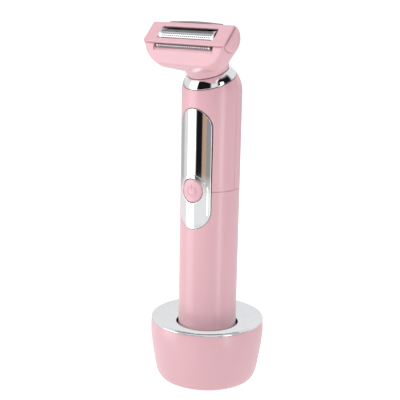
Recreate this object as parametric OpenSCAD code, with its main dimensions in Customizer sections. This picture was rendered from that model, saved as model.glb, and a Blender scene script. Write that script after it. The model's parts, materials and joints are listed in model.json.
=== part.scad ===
// Cordless foil shaver with a tilted T-shaped head, standing in a round charging base.
// Origin: centre of the base underside. +Z up, the button side faces -Y.

/* [Charging base] */
// Height of the base at its rim
base_h = 31; // [29:0.5:34]
// Radius of the base where it is widest
base_r = 28.4; // [27.5:0.1:31]
// Radius of the base at the foot
foot_r = 22.6; // [21.5:0.1:23.5]
// Wall thickness of the bowl
bowl_wall = 2.2; // [1.8:0.1:2.6]
// How far the chrome dish drops from the rim to the well
dish_drop = 2.4; // [1:0.1:3.5]
// Radial gap between the handpiece and the well
well_gap = 0.3; // [0.2:0.05:0.8]

/* [Handpiece] */
// Radius of the round handpiece
body_r = 14.5; // [14:0.1:15]
// Wall thickness of the handpiece shells
body_wall = 1.6; // [1.2:0.1:1.8]
// Height of the seam between the lower and the upper shells
seam_z = 98; // [96:0.5:100]
// Height of the centre of the domed shoulder
dome_z = 144.5; // [143:0.5:147]
// Width of the seams between shells
seam_gap = 0.16; // [0.1:0.02:0.3]

/* [Front panel] */
// Half of the chord width of the chrome panel
panel_half_w = 9; // [8:0.1:9.5]
// Height of the panel's lower end
panel_low_z = 79.2; // [78:0.1:81]
// Height of the panel's upper end
panel_high_z = 137.2; // [135:0.1:138.5]
// Radius of the power button
button_r = 5.7; // [5:0.1:6]
// Half width of the raised field around and below the button
bezel_r = 8; // [7:0.1:8.3]
// How far the button is pressed
button_travel = 0.5; // [0.3:0.05:0.6]

/* [Neck] */
// Forward tilt of the neck from vertical
neck_tilt = 21; // [18:1:23]
// Where the chrome collar starts, along the neck from the shoulder's centre
collar_low = 6.3; // [5.5:0.1:7]
// Where the chrome collar ends, along the neck from the shoulder's centre
collar_top = 10.2; // [9.9:0.1:10.4]
// Radius of the round neck spigot that turns in the handpiece
spigot_r = 9; // [8.6:0.05:9.1]

/* [Head] */
// Length of the foil frame, side to side
plate_l = 46; // [44:0.5:48]
// Width of the foil frame
plate_w = 12; // [11.6:0.1:12.6]
// Thickness of the foil frame
plate_t = 1.2; // [1:0.1:1.2]
// Forward tilt of the foil frame from level
plate_tilt = 46; // [44:1:48]
// Distance of the foil frame's centre in front of the handpiece axis
plate_out = 20.1; // [19:0.1:21]
// Height of the foil frame's centre
plate_z = 172.1; // [171:0.1:173]
// Length of the shaving window
window_l = 31.6; // [30:0.2:32]
// Radius of the arched foil
foil_r = 3.7; // [3.6:0.05:3.75]
// Radius of the round release buttons at the head's ends
release_r = 5.9; // [5.6:0.1:6]

/* [Drive] */
// Radius of the motor can
motor_r = 6; // [5.5:0.1:6.2]
// Offset of the drive pin from the motor axis
crank = 1; // [0.6:0.1:1]
// Pitch of the trimmer teeth
tooth_pitch = 1.2; // [1:0.1:1.6]
// Number of cutter leaves under the foil
leaf_count = 25; // [15:2:25]

/* [Hidden] */
$fn = 72;

pink = "#eab9c3";
chrome = "#d9dcdf";
steel = "#b9bcc0";
rubber = "#2c2c2e";
board_green = "#2f6b46";
inner_white = "#e9e6e1";
copper = "#b87333";

eps = 0.01;
far = 200;

// Charging base
well_r = body_r + well_gap;
well_wall = 1.5;
well_floor_z = 10.4;
well_floor = 2;
pad_t = 1;
bottom_plate_t = 2;
bottom_plate_r = foot_r - bowl_wall - 0.1;
hole_r = well_r + 1;
cover_t = 1.2;
lip_t = 0.6;
bowl_steps = 14;
boss_count = 3;
boss_ring_r = 18.2;
boss_r = 2.6;
base_board_z = 4.8;
board_t = 1.2;
socket_z = 9.2;
socket_bore_r = 1.75;
socket_nose_r = 3;
pin_x = 4;
pin_body_r = 1;
pin_tip_r = 0.7;
pin_travel = 1;
barrel_h = 4;
screw_seat = 1.6;
contact_z = well_floor_z + 0.85;

// Handpiece
body_z = well_floor_z + 0.05;
inner_r = body_r - body_wall;
button_z = seam_z;
panel_r = body_r + 0.15;
panel_inner_r = inner_r + 0.3;
bezel_out = 0.45;
chassis_r = inner_r - 0.2;
chassis_wall = 1.3;
battery_r = 7.1;
battery_h = 49.5;
battery_y = 3;
battery_z = 22;
pcb_y = -4.4;
pcb_low_z = 76;
pcb_high_z = 118;
pcb_half_w = 9;
switch_y = 7.6;
stem_y = 9;
flange_y = stem_y + 1.3;
arm_top = 127.5;
rib_t = 1.5;
lower_rib_z = battery_z - 3;
upper_rib_z = battery_z + battery_h + 2.5;

// Motor, along the neck axis from the shoulder's centre
motor_low = -13;
motor_high = 1;
mount_z = 1.4;
mount_t = 1;
shaft_r = 1;
cam_low = 5;
cam_high = 9;
cam_r = 3;
pin_r = 0.75;
pin_high = 16;

// Head
housing_wall = 1.2;
end_face_x = plate_l / 2 - 0.4;
pocket_x = end_face_x - 2.2;
cavity_x = pocket_x - 1;
release_y = 0.3;
release_z = -2.9;
barrel_r = 6.1;
barrel_y = 1.6;
barrel_z = -4;
belly_x = 11.7;
belly_y = -3.7;
belly_z = -4.8;
belly = [10.9, 9.5, 11.5];
rim_z = -plate_t - 0.1;
front_y = -plate_out - plate_w / 2 * cos(plate_tilt) - rim_z * sin(plate_tilt) - 0.4;
neck_top = 14.3;
neck_top_r = 11.3;
release_out = 1.3;
release_travel = 1.2;
stem_z = -6.3;
foil_z = -3.1;
foil_t = 0.2;
foil_half_l = window_l / 2 - 0.2;
comb_z = -1.9;
comb_t = 0.4;
comb_half_l = 15.2;
blade_z = -2.3;
blade_t = 0.3;
blade_half_l = 14.5;
comb_front = 6.9;
comb_rear = 8.5;
comb_root = 4;
rear_arc_r = 134;
notch_half_l = 17;
carrier_z = -10;
carrier_t = 1.5;
fork_gap = crank + pin_r + 1 + 0.15;
fork_t = 1.2;
ring_z = 6.6;
leaf_r = foil_r - foil_t - 0.1;
leaf_t = 0.35;

// ---- frames and helpers ----

// Along the neck: z = 0 at the shoulder's centre, +z towards the head
module neck_frame() translate([0, 0, dome_z]) rotate([neck_tilt, 0, 0]) children();

// On the foil frame: z = 0 on its top face, +z out of the skin side, +y to the rear
module head_frame() translate([0, -plate_out, plate_z]) rotate([plate_tilt, 0, 0]) children();

// Stands a shape along -Y at height z
module facing_front(z) translate([0, 0, z]) rotate([90, 0, 0]) children();

// Lays a shape along +X (side = 1) or -X (side = -1)
module facing_side(side) rotate([0, 90 * side, 0]) children();

module tube(r_out, r_in, h) {
  difference() {
    cylinder(r = r_out, h = h);
    translate([0, 0, -1]) cylinder(r = r_in, h = h + 2);
  }
}

module box(x, y, z) translate([x[0], y[0], z[0]]) cube([x[1] - x[0], y[1] - y[0], z[1] - z[0]]);

module torus(major, minor) rotate_extrude() translate([major, 0]) circle(r = minor, $fn = 24);

// A closed stack of spring turns, as it is when fully pressed
module spring_stack(major, wire_r, turns) {
  for (i = [0 : turns - 1]) {
    translate([0, 0, wire_r + i * 2 * wire_r]) torus(major, wire_r);
  }
}

module pan_head_screw(r, head_r, length) {
  cylinder(r = r, h = length);
  translate([0, 0, -head_r * 0.7]) difference() {
    cylinder(r = head_r, h = head_r * 0.7);
    box([-head_r * 0.6, head_r * 0.6], [-0.2, 0.2], [-1, head_r * 0.35]);
    box([-0.2, 0.2], [-head_r * 0.6, head_r * 0.6], [-1, head_r * 0.35]);
  }
}

module at_bosses() {
  for (i = [0 : boss_count - 1]) {
    rotate([0, 0, 30 + i * 360 / boss_count]) translate([boss_ring_r, 0, 0]) children();
  }
}

// Outer radius of the bowl at height z: a quarter oval from the foot to the rim
function bowl_r(z) = foot_r + (base_r - foot_r) * pow(1 - pow(1 - z / base_h, 2), 0.55);

bowl_z = [for (i = [0 : bowl_steps]) base_h * pow(i / bowl_steps, 1.7)];

// ---- charging base ----

module base_bowl() {
  outline = concat([for (z = bowl_z) [bowl_r(z), max(z, 0.3)]],
                   [for (i = [bowl_steps : -1 : 0]) [bowl_r(bowl_z[i]) - bowl_wall, max(bowl_z[i], 0.3)]]);
  color(pink) difference() {
    rotate_extrude() polygon(outline);
    translate([0, 0, base_h - lip_t]) cylinder(r = base_r + 1, h = 3);
    translate([0, 0, base_h - cover_t - 0.6]) cylinder(r = base_r - 0.9, h = 3);
    translate([0, 15, socket_z]) rotate([-90, 0, 0]) cylinder(r = socket_nose_r + 0.15, h = 20);
  }
}

module base_chrome_top() {
  lip = base_r - 0.25;
  rim = base_r - 1;
  low = base_h - dish_drop;
  color(chrome) rotate_extrude() polygon([
    [lip, base_h], [lip, base_h - lip_t + 0.05], [rim, base_h - lip_t + 0.05],
    [rim, base_h - cover_t], [rim - 2, base_h - cover_t],
    [hole_r + 1.2, low - cover_t], [hole_r + 1.2, low - 4], [hole_r, low - 4],
    [hole_r, low - 0.2], [hole_r + 0.5, low], [rim - 0.6, base_h]
  ]);
}

module base_well() {
  top = base_h - dish_drop - 3.6;
  color(inner_white) difference() {
    union() {
      translate([0, 0, well_floor_z - well_floor])
        cylinder(r = well_r + well_wall - 0.6, h = top - well_floor_z + well_floor);
      at_bosses() translate([0, 0, base_board_z + board_t + 0.1]) cylinder(r = boss_r, h = 9);
    }
    translate([0, 0, well_floor_z]) cylinder(r = well_r, h = far);
    for (x = [-pin_x, pin_x]) translate([x, 0, 0]) cylinder(r = 1.5, h = 20);
    at_bosses() cylinder(r = 0.95, h = 12);
  }
}

module base_bottom_plate() {
  color(pink) difference() {
    union() {
      translate([0, 0, pad_t]) cylinder(r = bottom_plate_r, h = bottom_plate_t);
      at_bosses() translate([0, 0, pad_t]) cylinder(r = boss_r, h = base_board_z - pad_t);
    }
    at_bosses() cylinder(r = 1.1, h = 20);
    at_bosses() translate([0, 0, pad_t - eps]) cylinder(r = 2, h = screw_seat + 2 * eps);
  }
}

module foot_pad() color(rubber) cylinder(r = bottom_plate_r - 0.6, h = pad_t);

module base_screws() {
  color(steel) at_bosses() translate([0, 0, pad_t + screw_seat]) pan_head_screw(0.9, 1.8, 8);
}

module base_circuit_board() {
  color(board_green) translate([0, 0, base_board_z]) linear_extrude(board_t) difference() {
    union() {
      circle(r = 17.4);
      translate([-4.5, 0]) square([9, 20.5]);
    }
    at_bosses() circle(r = 1.2);
  }
}

module dc_socket() {
  back_y = 20.5;
  color(rubber) difference() {
    union() {
      box([-4, 4], [well_r + well_wall + 0.3, back_y], [base_board_z + board_t, socket_z + 3.6]);
      translate([0, back_y - 1, socket_z]) rotate([-90, 0, 0])
        cylinder(r = socket_nose_r, h = bowl_r(socket_z) - back_y + 1);
    }
    translate([0, well_r + well_wall + 1.3, socket_z]) rotate([-90, 0, 0])
      cylinder(r = socket_bore_r, h = 20);
  }
}

module at_pins() for (x = [-pin_x, pin_x]) translate([x, 0, base_board_z + board_t]) children();

module contact_pin_barrels() {
  color("goldenrod") at_pins() difference() {
    cylinder(r = 1.35, h = barrel_h);
    translate([0, 0, 0.3]) cylinder(r = pin_body_r + 0.05, h = barrel_h - 0.7);
    cylinder(r = pin_tip_r + 0.05, h = 10);
  }
}

module contact_pin_springs() {
  color(steel) at_pins() translate([0, 0, 0.32]) spring_stack(0.7, 0.1, 2);
}

module contact_pin(side) {
  low = base_board_z + board_t + 0.75 + pin_travel;
  color("gold") translate([side * pin_x, 0, 0]) {
    translate([0, 0, low]) cylinder(r = pin_body_r, h = base_board_z + board_t + barrel_h - 0.45 - low);
    translate([0, 0, low + 1]) cylinder(r = pin_tip_r, h = contact_z - low - 1);
  }
}

module contact_pin_left() contact_pin(-1);
module contact_pin_right() contact_pin(1);

// ---- handpiece shells ----

// Round body with a domed shoulder, from height z up
module body_solid(r, z) {
  rotate_extrude() {
    translate([0, z]) square([r, dome_z - z]);
    intersection() {
      translate([0, dome_z]) circle(r = r);
      translate([0, dome_z - eps]) square([far, far]);
    }
  }
}

// Everything up to a plane across the neck
module below_neck_plane(d) neck_frame() translate([-far / 2, -far / 2, d - far]) cube(far);

// Tall pill outline, seen from the front, between two heights
module pill(half_w, low, high) {
  translate([0, low + half_w]) circle(r = half_w);
  translate([0, high - half_w]) circle(r = half_w);
  translate([-half_w, low + half_w]) square([2 * half_w, high - low - 2 * half_w]);
}

module panel_cut(gap) {
  rotate([90, 0, 0]) linear_extrude(far)
    pill(panel_half_w + gap, panel_low_z - gap, panel_high_z + gap);
}

module lower_body_shell() {
  edge = 1.5;
  color(pink) difference() {
    rotate_extrude() union() {
      translate([0, body_z + edge]) square([body_r, seam_z - seam_gap / 2 - body_z - edge]);
      translate([0, body_z]) square([body_r - edge, edge + eps]);
      translate([body_r - edge, body_z + edge]) circle(r = edge);
    }
    translate([0, 0, body_z + 1.8]) cylinder(r = inner_r, h = far);
    for (x = [-pin_x, pin_x]) translate([x, 0, 0]) cylinder(r = 1.5, h = 20);
    panel_cut(0.1);
  }
}

module upper_shell() {
  intersection() {
    difference() {
      body_solid(body_r, seam_z + seam_gap / 2);
      body_solid(inner_r, seam_z - 1);
    }
    below_neck_plane(collar_low);
  }
}

module upper_front_shell() {
  color(pink) difference() {
    upper_shell();
    translate([-far, -seam_gap / 2, 0]) cube([2 * far, far, far]);
    panel_cut(0.1);
  }
}

module upper_rear_shell() {
  color(pink) difference() {
    upper_shell();
    translate([-far, seam_gap / 2 - far, 0]) cube([2 * far, far, far]);
  }
}

module chrome_collar() {
  bore = spigot_r + 0.9;
  color(chrome) neck_frame() rotate_extrude() difference() {
    union() {
      intersection() {
        difference() {
          circle(r = body_r);
          circle(r = inner_r);
        }
        translate([bore, collar_low + seam_gap]) square([far, collar_top - collar_low - seam_gap]);
      }
      translate([bore, collar_low - 1.3]) square([1.3, 3]);
    }
    translate([-far, -far]) square([far + bore, 2 * far]);
  }
}

module chrome_front_panel() {
  color(chrome) difference() {
    intersection() {
      union() {
        translate([0, 0, panel_low_z]) tube(panel_r, panel_inner_r, panel_high_z - panel_low_z);
        intersection() {
          translate([0, 0, panel_low_z]) tube(panel_r + bezel_out, panel_inner_r, 40);
          rotate([90, 0, 0]) linear_extrude(far) pill(bezel_r, panel_low_z + 1, button_z + bezel_r);
        }
      }
      panel_cut(0);
    }
    facing_front(button_z) cylinder(r = button_r + 0.1, h = far);
  }
}

module power_button() {
  face_r = panel_r + bezel_out + 0.2;
  color(pink) {
    intersection() {
      facing_front(button_z) cylinder(r = button_r, h = far);
      translate([0, 0, button_z - 10]) tube(face_r, flange_y, 20);
    }
    facing_front(button_z) translate([0, 0, flange_y]) cylinder(r = button_r + 0.7, h = 1);
    facing_front(button_z) translate([0, 0, stem_y]) cylinder(r = 1.5, h = 2);
  }
}

// ---- handpiece inside ----

module rib(z, edge_y) {
  translate([0, 0, z]) intersection() {
    cylinder(r = chassis_r, h = rib_t);
    translate([-far, edge_y, 0]) cube([2 * far, far, rib_t]);
  }
}

module chassis() {
  color(inner_white) {
    difference() {
      union() {
        intersection() {
          translate([0, 0, 14]) tube(chassis_r, chassis_r - chassis_wall, arm_top - 14);
          translate([-far, 0.5, 0]) cube([2 * far, far, far]);
        }
        rib(lower_rib_z, -3);
        rib(upper_rib_z, -3);
        rib(pcb_low_z + 3, pcb_y + board_t);
        rib(pcb_high_z - 4, pcb_y + board_t);
        rib(arm_top - rib_t, -3);
      }
      for (x = [-6, 6], z = [pcb_low_z + 3.75, pcb_high_z - 3.25])
        facing_front(z) translate([x, 0, 0]) cylinder(r = 0.6, h = 10);
      translate([0, 2, arm_top - 5]) cylinder(r = 4, h = 10);
    }
    intersection() {
      union() {
        box([8.4, 10.4], [1, 5], [arm_top - eps, 160]);
        box([-10.4, -8.4], [1, 5], [arm_top - eps, 160]);
      }
      below_neck_plane(mount_z);
    }
  }
}

module charge_contacts() {
  color("goldenrod") for (x = [-pin_x, pin_x]) translate([x, 0, contact_z]) {
    cylinder(r = 1.4, h = 3.5);
    translate([0, 0, body_z + 1.85 - contact_z]) cylinder(r = 2.2, h = 0.8);
  }
}

module battery_cell() {
  color("#5a86b8") translate([0, battery_y, battery_z]) {
    cylinder(r = battery_r, h = battery_h);
    translate([0, 0, battery_h - eps]) cylinder(r = 2.7, h = 1.2);
  }
}

module battery_lower_contact() {
  color(steel) translate([0, battery_y, 0]) {
    box([-5, 5], [-4, 4], [lower_rib_z + rib_t, lower_rib_z + rib_t + 0.4]);
    translate([0, 0, lower_rib_z + rib_t]) cylinder(r = 2.5, h = battery_z - lower_rib_z - rib_t);
  }
}

module battery_upper_contact() {
  low = battery_z + battery_h + 1.2;
  color(steel) translate([0, battery_y, 0]) {
    box([-4, 4], [-4, 4], [upper_rib_z - 0.4, upper_rib_z]);
    translate([0, 0, low]) cylinder(r = 2, h = upper_rib_z - low);
  }
}

module circuit_board() {
  color(board_green) difference() {
    box([-pcb_half_w, pcb_half_w], [pcb_y, pcb_y + board_t], [pcb_low_z, pcb_high_z]);
    at_board_screws() cylinder(r = 0.75, h = 10, center = true);
  }
}

module at_board_screws() {
  for (x = [-6, 6], z = [pcb_low_z + 3.75, pcb_high_z - 3.25]) {
    translate([x, pcb_y, z]) rotate([-90, 0, 0]) children();
  }
}

module board_screws() color(steel) at_board_screws() pan_head_screw(0.6, 1.2, 4);

module tact_switch() {
  color("#3a3a3c") {
    box([-3, 3], [-switch_y, pcb_y], [button_z - 3, button_z + 3]);
    facing_front(button_z) translate([0, 0, switch_y - eps])
      cylinder(r = 1.7, h = stem_y - button_travel - 0.05 - switch_y);
  }
}

module motor_can() {
  color(steel) neck_frame() difference() {
    union() {
      translate([0, 0, motor_low]) cylinder(r = motor_r, h = motor_high - motor_low);
      translate([0, 0, motor_high - eps]) cylinder(r = 2.5, h = 0.4);
    }
    translate([0, 0, motor_low - 1]) cylinder(r = motor_r - 0.6, h = motor_high - motor_low);
    cylinder(r = shaft_r + 0.03, h = far);
    at_motor_screws() cylinder(r = 0.6, h = 10, center = true);
  }
}

module motor_end_cap() {
  color("#d8d2c4") neck_frame() translate([0, 0, motor_low - 1.8]) difference() {
    union() {
      cylinder(r = motor_r, h = 1.7);
      cylinder(r = motor_r - 0.7, h = 2.6);
    }
    translate([0, 0, 0.9]) cylinder(r = shaft_r + 0.03, h = 5);
  }
}

module motor_magnets() {
  color("#4a4a4e") neck_frame() translate([0, 0, motor_low + 2.2]) difference() {
    tube(motor_r - 0.65, motor_r - 1.2, 9.5);
    box([-1.2, 1.2], [-10, 10], [-1, 20]);
  }
}

module at_motor_screws() {
  for (x = [-4.2, 4.2]) translate([x, 0, mount_z + mount_t]) rotate([180, 0, 0]) children();
}

module motor_mount() {
  color(inner_white) neck_frame() difference() {
    translate([0, 0, mount_z]) cylinder(r = 11.4, h = mount_t);
    cylinder(r = 2.6, h = 10);
    at_motor_screws() cylinder(r = 0.75, h = 10, center = true);
  }
}

module motor_screws() color(steel) neck_frame() at_motor_screws() pan_head_screw(0.55, 1.1, 2);

module head_socket() {
  low = mount_z + mount_t + 0.05;
  color(inner_white) neck_frame() {
    translate([0, 0, low + 1.2]) tube(spigot_r + 0.8, spigot_r + 0.05, collar_top - 0.1 - low - 1.2);
    translate([0, 0, low]) tube(11, spigot_r - 1.2, 1.2);
  }
}

// ---- rotor ----

module motor_armature() {
  color(copper) neck_frame() translate([0, 0, motor_low + 2.4]) difference() {
    cylinder(r = motor_r - 1.6, h = 9);
    for (a = [0 : 120 : 240]) rotate([0, 0, a]) box([3, 6], [-0.5, 0.5], [-1, 20]);
    translate([0, 0, -1]) cylinder(r = shaft_r, h = 20);
  }
}

module motor_shaft() {
  color(steel) neck_frame() translate([0, 0, motor_low - 0.8])
    cylinder(r = shaft_r, h = cam_high - 1 - motor_low + 0.8);
}

module eccentric_cam() {
  color(inner_white) neck_frame() difference() {
    union() {
      translate([0, 0, cam_low]) cylinder(r = cam_r, h = cam_high - cam_low);
      translate([crank * 0.5, 0, cam_low + 1]) cylinder(r = cam_r, h = cam_high - cam_low - 1);
    }
    translate([0, 0, cam_low - 1]) cylinder(r = shaft_r, h = cam_high - cam_low);
    translate([crank, 0, cam_high - 1]) cylinder(r = pin_r, h = 5);
  }
}

module drive_pin() {
  color(steel) neck_frame() translate([crank, 0, cam_high - 1])
    cylinder(r = pin_r, h = pin_high - cam_high + 1);
}

// ---- head ----

module neck_o_ring() color(rubber) neck_frame() translate([0, 0, ring_z]) torus(spigot_r - 0.5, 0.5);

// Rounded T-shape of the head; skin = 0 is the outside, more is further in
module head_form(skin) {
  hull() {
    intersection() {
      head_frame() {
        box([-end_face_x + skin, end_face_x - skin], [-plate_w / 2 + skin, plate_w / 2 - skin],
            [rim_z - 1, rim_z]);
        translate([-end_face_x + skin, barrel_y, barrel_z]) facing_side(1)
          cylinder(r = barrel_r - skin, h = 2 * (end_face_x - skin), $fn = 32);
        for (side = [-1, 1]) translate([side * belly_x, belly_y, belly_z])
          scale([belly[0] - skin, belly[1] - skin, belly[2] - skin]) sphere(r = 1, $fn = 36);
      }
      head_frame() box([-far, far], [-far, far], [-far, rim_z]);
      translate([-far, front_y + skin, 0]) cube([2 * far, far, 2 * far]);
    }
    neck_frame() translate([0, 0, neck_top]) cylinder(r = neck_top_r - skin, h = 0.4, $fn = 32);
  }
}

module head_housing() {
  color(pink) difference() {
    union() {
      head_form(0);
      neck_frame() translate([0, 0, collar_top + 0.1])
        cylinder(r1 = spigot_r + 1.2, r2 = neck_top_r - 0.3, h = neck_top + 0.2 - collar_top);
      neck_frame() translate([0, 0, 4.4]) cylinder(r = spigot_r, h = 8);
    }
    intersection() {
      head_form(housing_wall);
      head_frame() box([-cavity_x, cavity_x], [-far, far], [-far, 0]);
    }
    neck_frame() translate([0, 0, 4]) cylinder(r = spigot_r - 1.8, h = 14);
    neck_frame() translate([0, 0, ring_z - 0.55]) tube(spigot_r + 2, spigot_r - 1.05, 1.1);
    head_frame() {
      box([-cavity_x, cavity_x], [-4.8, 4.8], [-6, 5]);
      box([-notch_half_l, notch_half_l], [-12, 12], [-3.2, 5]);
      for (side = [-1, 1]) {
        translate([side * pocket_x, release_y, release_z]) facing_side(side)
          cylinder(r = release_r + 0.12, h = 10);
        translate([side * (cavity_x - 1), 0, stem_z]) facing_side(side) cylinder(r = 1.25, h = 10);
      }
    }
  }
}

module release_spring(side) {
  color(steel) head_frame() translate([side * (pocket_x + 0.02), 0, stem_z])
    facing_side(side) spring_stack(1.62, 0.27, 2);
}

module release_spring_left() release_spring(-1);
module release_spring_right() release_spring(1);

module release_button(side) {
  inner_x = pocket_x + release_travel + 0.1;
  outer_x = end_face_x + release_out;
  color(pink) head_frame() difference() {
    union() {
      intersection() {
        translate([side * inner_x, release_y, release_z]) facing_side(side) rotate_extrude() union() {
          square([release_r - 1, outer_x - inner_x]);
          square([release_r, outer_x - inner_x - 1]);
          translate([release_r - 1, outer_x - inner_x - 1]) circle(r = 1);
        }
        box([-far, far], [-far, far], [-far, -plate_t - 0.2]);
      }
      translate([side * (cavity_x - 0.9), 0, stem_z]) facing_side(side) cylinder(r = 1.2, h = 3.6);
    }
    translate([side * (inner_x - 1), 0, stem_z]) facing_side(side) tube(2.1, 1.2, 2.2);
  }
}

module release_button_left() release_button(-1);
module release_button_right() release_button(1);

module foil_frame() {
  color(pink) head_frame() {
    difference() {
      box([-plate_l / 2, plate_l / 2], [-plate_w / 2, plate_w / 2], [-plate_t, 0]);
      box([-window_l / 2, window_l / 2], [-3.5, 3.5], [-5, 5]);
    }
    for (side = [-1, 1]) translate([side * (cavity_x - 1.2), 0, 0])
      box([-0.35, 0.35], [-3, 3], [-4.2, -plate_t + eps]);
  }
}

module shaving_foil() {
  color(chrome) head_frame() translate([-foil_half_l, 0, foil_z]) rotate([90, 0, 90])
    linear_extrude(2 * foil_half_l) {
      difference() {
        circle(r = foil_r);
        circle(r = foil_r - foil_t);
        translate([-far, -far]) square([2 * far, far]);
      }
      for (side = [-1, 1]) translate([side * (foil_r - foil_t / 2) - foil_t / 2, -1.4])
        square([foil_t, 1.4 + eps]);
    }
}

module foil_clip(side) {
  color(inner_white) head_frame() translate([side * (foil_half_l + 1), 0, 0])
    box([-0.5, 0.5], [-foil_r, foil_r], [foil_z - 1.4, -plate_t]);
}

module foil_clip_left() foil_clip(-1);
module foil_clip_right() foil_clip(1);

// Flat toothed plate: tips at +y, between root and tip
module toothed_plate(half_l, root, tip, tooth_l, t) {
  slot = tooth_pitch * 0.42;
  count = floor((half_l - 1) / tooth_pitch);
  linear_extrude(t) difference() {
    translate([-half_l, root]) square([2 * half_l, tip - root]);
    for (i = [-count : count - 1]) {
      translate([(i + 0.5) * tooth_pitch - slot / 2, tip - tooth_l]) square([slot, far]);
    }
  }
}

module rear_arc(tip) translate([0, tip - rear_arc_r, -20]) cylinder(r = rear_arc_r, h = 40, $fn = 360);

module comb_tabs() {
  for (side = [-1, 1]) translate([side * (comb_half_l - 0.5), 0, 0])
    box([-0.5, 0.5], [comb_root, comb_root + 1.4], [comb_z + eps, -plate_t]);
}

module front_trimmer_comb() {
  color(steel) head_frame() rotate([0, 0, 180]) {
    translate([0, 0, comb_z]) toothed_plate(comb_half_l, comb_root, comb_front, 1.7, comb_t);
    comb_tabs();
  }
}

module rear_trimmer_comb() {
  color(steel) head_frame() {
    intersection() {
      translate([0, 0, comb_z]) toothed_plate(comb_half_l, comb_root, comb_rear, 3, comb_t);
      rear_arc(comb_rear);
    }
    comb_tabs();
  }
}

module trimmer_legs() {
  for (x = [-9, 9]) box([x - 2, x + 2], [comb_root, comb_root + 0.6], [carrier_z + carrier_t, blade_z + eps]);
}

module front_trimmer_blade() {
  color(steel) head_frame() rotate([0, 0, 180]) {
    translate([0, 0, blade_z]) toothed_plate(blade_half_l, comb_root, comb_front - 0.4, 1.5, blade_t);
    trimmer_legs();
  }
}

module rear_trimmer_blade() {
  color(steel) head_frame() {
    intersection() {
      translate([0, 0, blade_z]) toothed_plate(blade_half_l, comb_root, comb_rear - 0.4, 2.6, blade_t);
      rear_arc(comb_rear - 0.4);
    }
    trimmer_legs();
  }
}

module blade_carrier() {
  post_x = 10;
  color(inner_white) head_frame() {
    box([-15, 15], [-4.6, 4.6], [carrier_z, carrier_z + carrier_t]);
    for (side = [-1, 1]) translate([side * (fork_gap + fork_t / 2), 0, 0])
      box([-fork_t / 2, fork_t / 2], [-2.6, 2.6], [-21, carrier_z + eps]);
    for (x = [-post_x, post_x]) translate([x, 0, carrier_z + carrier_t - eps]) cylinder(r = 0.9, h = 1.7);
  }
}

module cutter_springs() {
  color(steel) head_frame() for (x = [-10, 10])
    translate([x, 0, carrier_z + carrier_t + 0.02]) spring_stack(1.35, 0.25, 2);
}

module cutter_carrier() {
  low = carrier_z + carrier_t + 2;
  color("#4c4f55") head_frame() difference() {
    box([-14.4, 14.4], [-2.6, 2.6], [low, low + 1.3]);
    for (x = [-10, 10]) translate([x, 0, low - 1]) cylinder(r = 1, h = 4);
  }
}

module cutter_block() {
  low = carrier_z + carrier_t + 3.3;
  half_l = 14;
  pitch = 2 * half_l / leaf_count;
  color(steel) head_frame() {
    box([-half_l, half_l], [-1.6, 1.6], [low, foil_z + 1.2]);
    for (i = [0 : leaf_count - 1]) {
      translate([-half_l + (i + 0.5) * pitch - leaf_t / 2, 0, foil_z]) rotate([90, 0, 90])
        linear_extrude(leaf_t) difference() {
          circle(r = leaf_r);
          translate([-far, -far]) square([2 * far, far]);
        }
    }
  }
}

base_bowl();
base_chrome_top();
base_well();
base_bottom_plate();
foot_pad();
base_screws();
base_circuit_board();
dc_socket();
contact_pin_barrels();
contact_pin_springs();
contact_pin_left();
contact_pin_right();
lower_body_shell();
upper_front_shell();
upper_rear_shell();
chrome_collar();
chrome_front_panel();
power_button();
chassis();
charge_contacts();
battery_cell();
battery_lower_contact();
battery_upper_contact();
circuit_board();
board_screws();
tact_switch();
motor_can();
motor_end_cap();
motor_magnets();
motor_mount();
motor_screws();
head_socket();
motor_armature();
motor_shaft();
eccentric_cam();
drive_pin();
neck_o_ring();
head_housing();
release_spring_left();
release_spring_right();
release_button_left();
release_button_right();
foil_frame();
shaving_foil();
foil_clip_left();
foil_clip_right();
front_trimmer_comb();
rear_trimmer_comb();
blade_carrier();
front_trimmer_blade();
rear_trimmer_blade();
cutter_springs();
cutter_carrier();
cutter_block();
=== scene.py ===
"""A cordless foil shaver with a tilted T-shaped head, standing in its round charging base.

Lengths inside the helpers are millimetres in the CAD frame: +Z up, the button side faces -Y.
"""
import json
from math import (acos, asin, atan2, ceil, cos, degrees, dist, exp, hypot, pi, radians, sin,
                  sqrt, tan)

import bmesh
import bpy
import numpy as np
from mathutils import Matrix, Vector
from mathutils.geometry import delaunay_2d_cdt
from mathutils.kdtree import KDTree


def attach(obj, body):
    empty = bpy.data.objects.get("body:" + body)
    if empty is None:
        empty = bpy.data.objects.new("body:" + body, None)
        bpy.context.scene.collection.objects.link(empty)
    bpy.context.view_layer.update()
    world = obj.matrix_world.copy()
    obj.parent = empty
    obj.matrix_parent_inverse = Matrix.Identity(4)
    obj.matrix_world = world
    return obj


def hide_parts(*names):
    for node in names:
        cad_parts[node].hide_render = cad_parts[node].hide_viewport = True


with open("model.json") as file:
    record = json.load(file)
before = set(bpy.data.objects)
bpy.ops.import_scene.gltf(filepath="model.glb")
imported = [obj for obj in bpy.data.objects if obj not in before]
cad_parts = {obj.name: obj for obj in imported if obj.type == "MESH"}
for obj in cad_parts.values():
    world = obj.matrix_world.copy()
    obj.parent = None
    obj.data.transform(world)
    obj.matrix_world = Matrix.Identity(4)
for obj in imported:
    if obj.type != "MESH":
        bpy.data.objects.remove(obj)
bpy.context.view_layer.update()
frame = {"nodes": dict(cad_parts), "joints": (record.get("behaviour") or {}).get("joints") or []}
MM = 0.001

# ---- frames and sizes from the CAD ----


def node_points(name):
    """Vertices of a CAD node in millimetres."""
    return np.array([v.co for v in frame["nodes"][name].data.vertices], float) / MM


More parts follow.
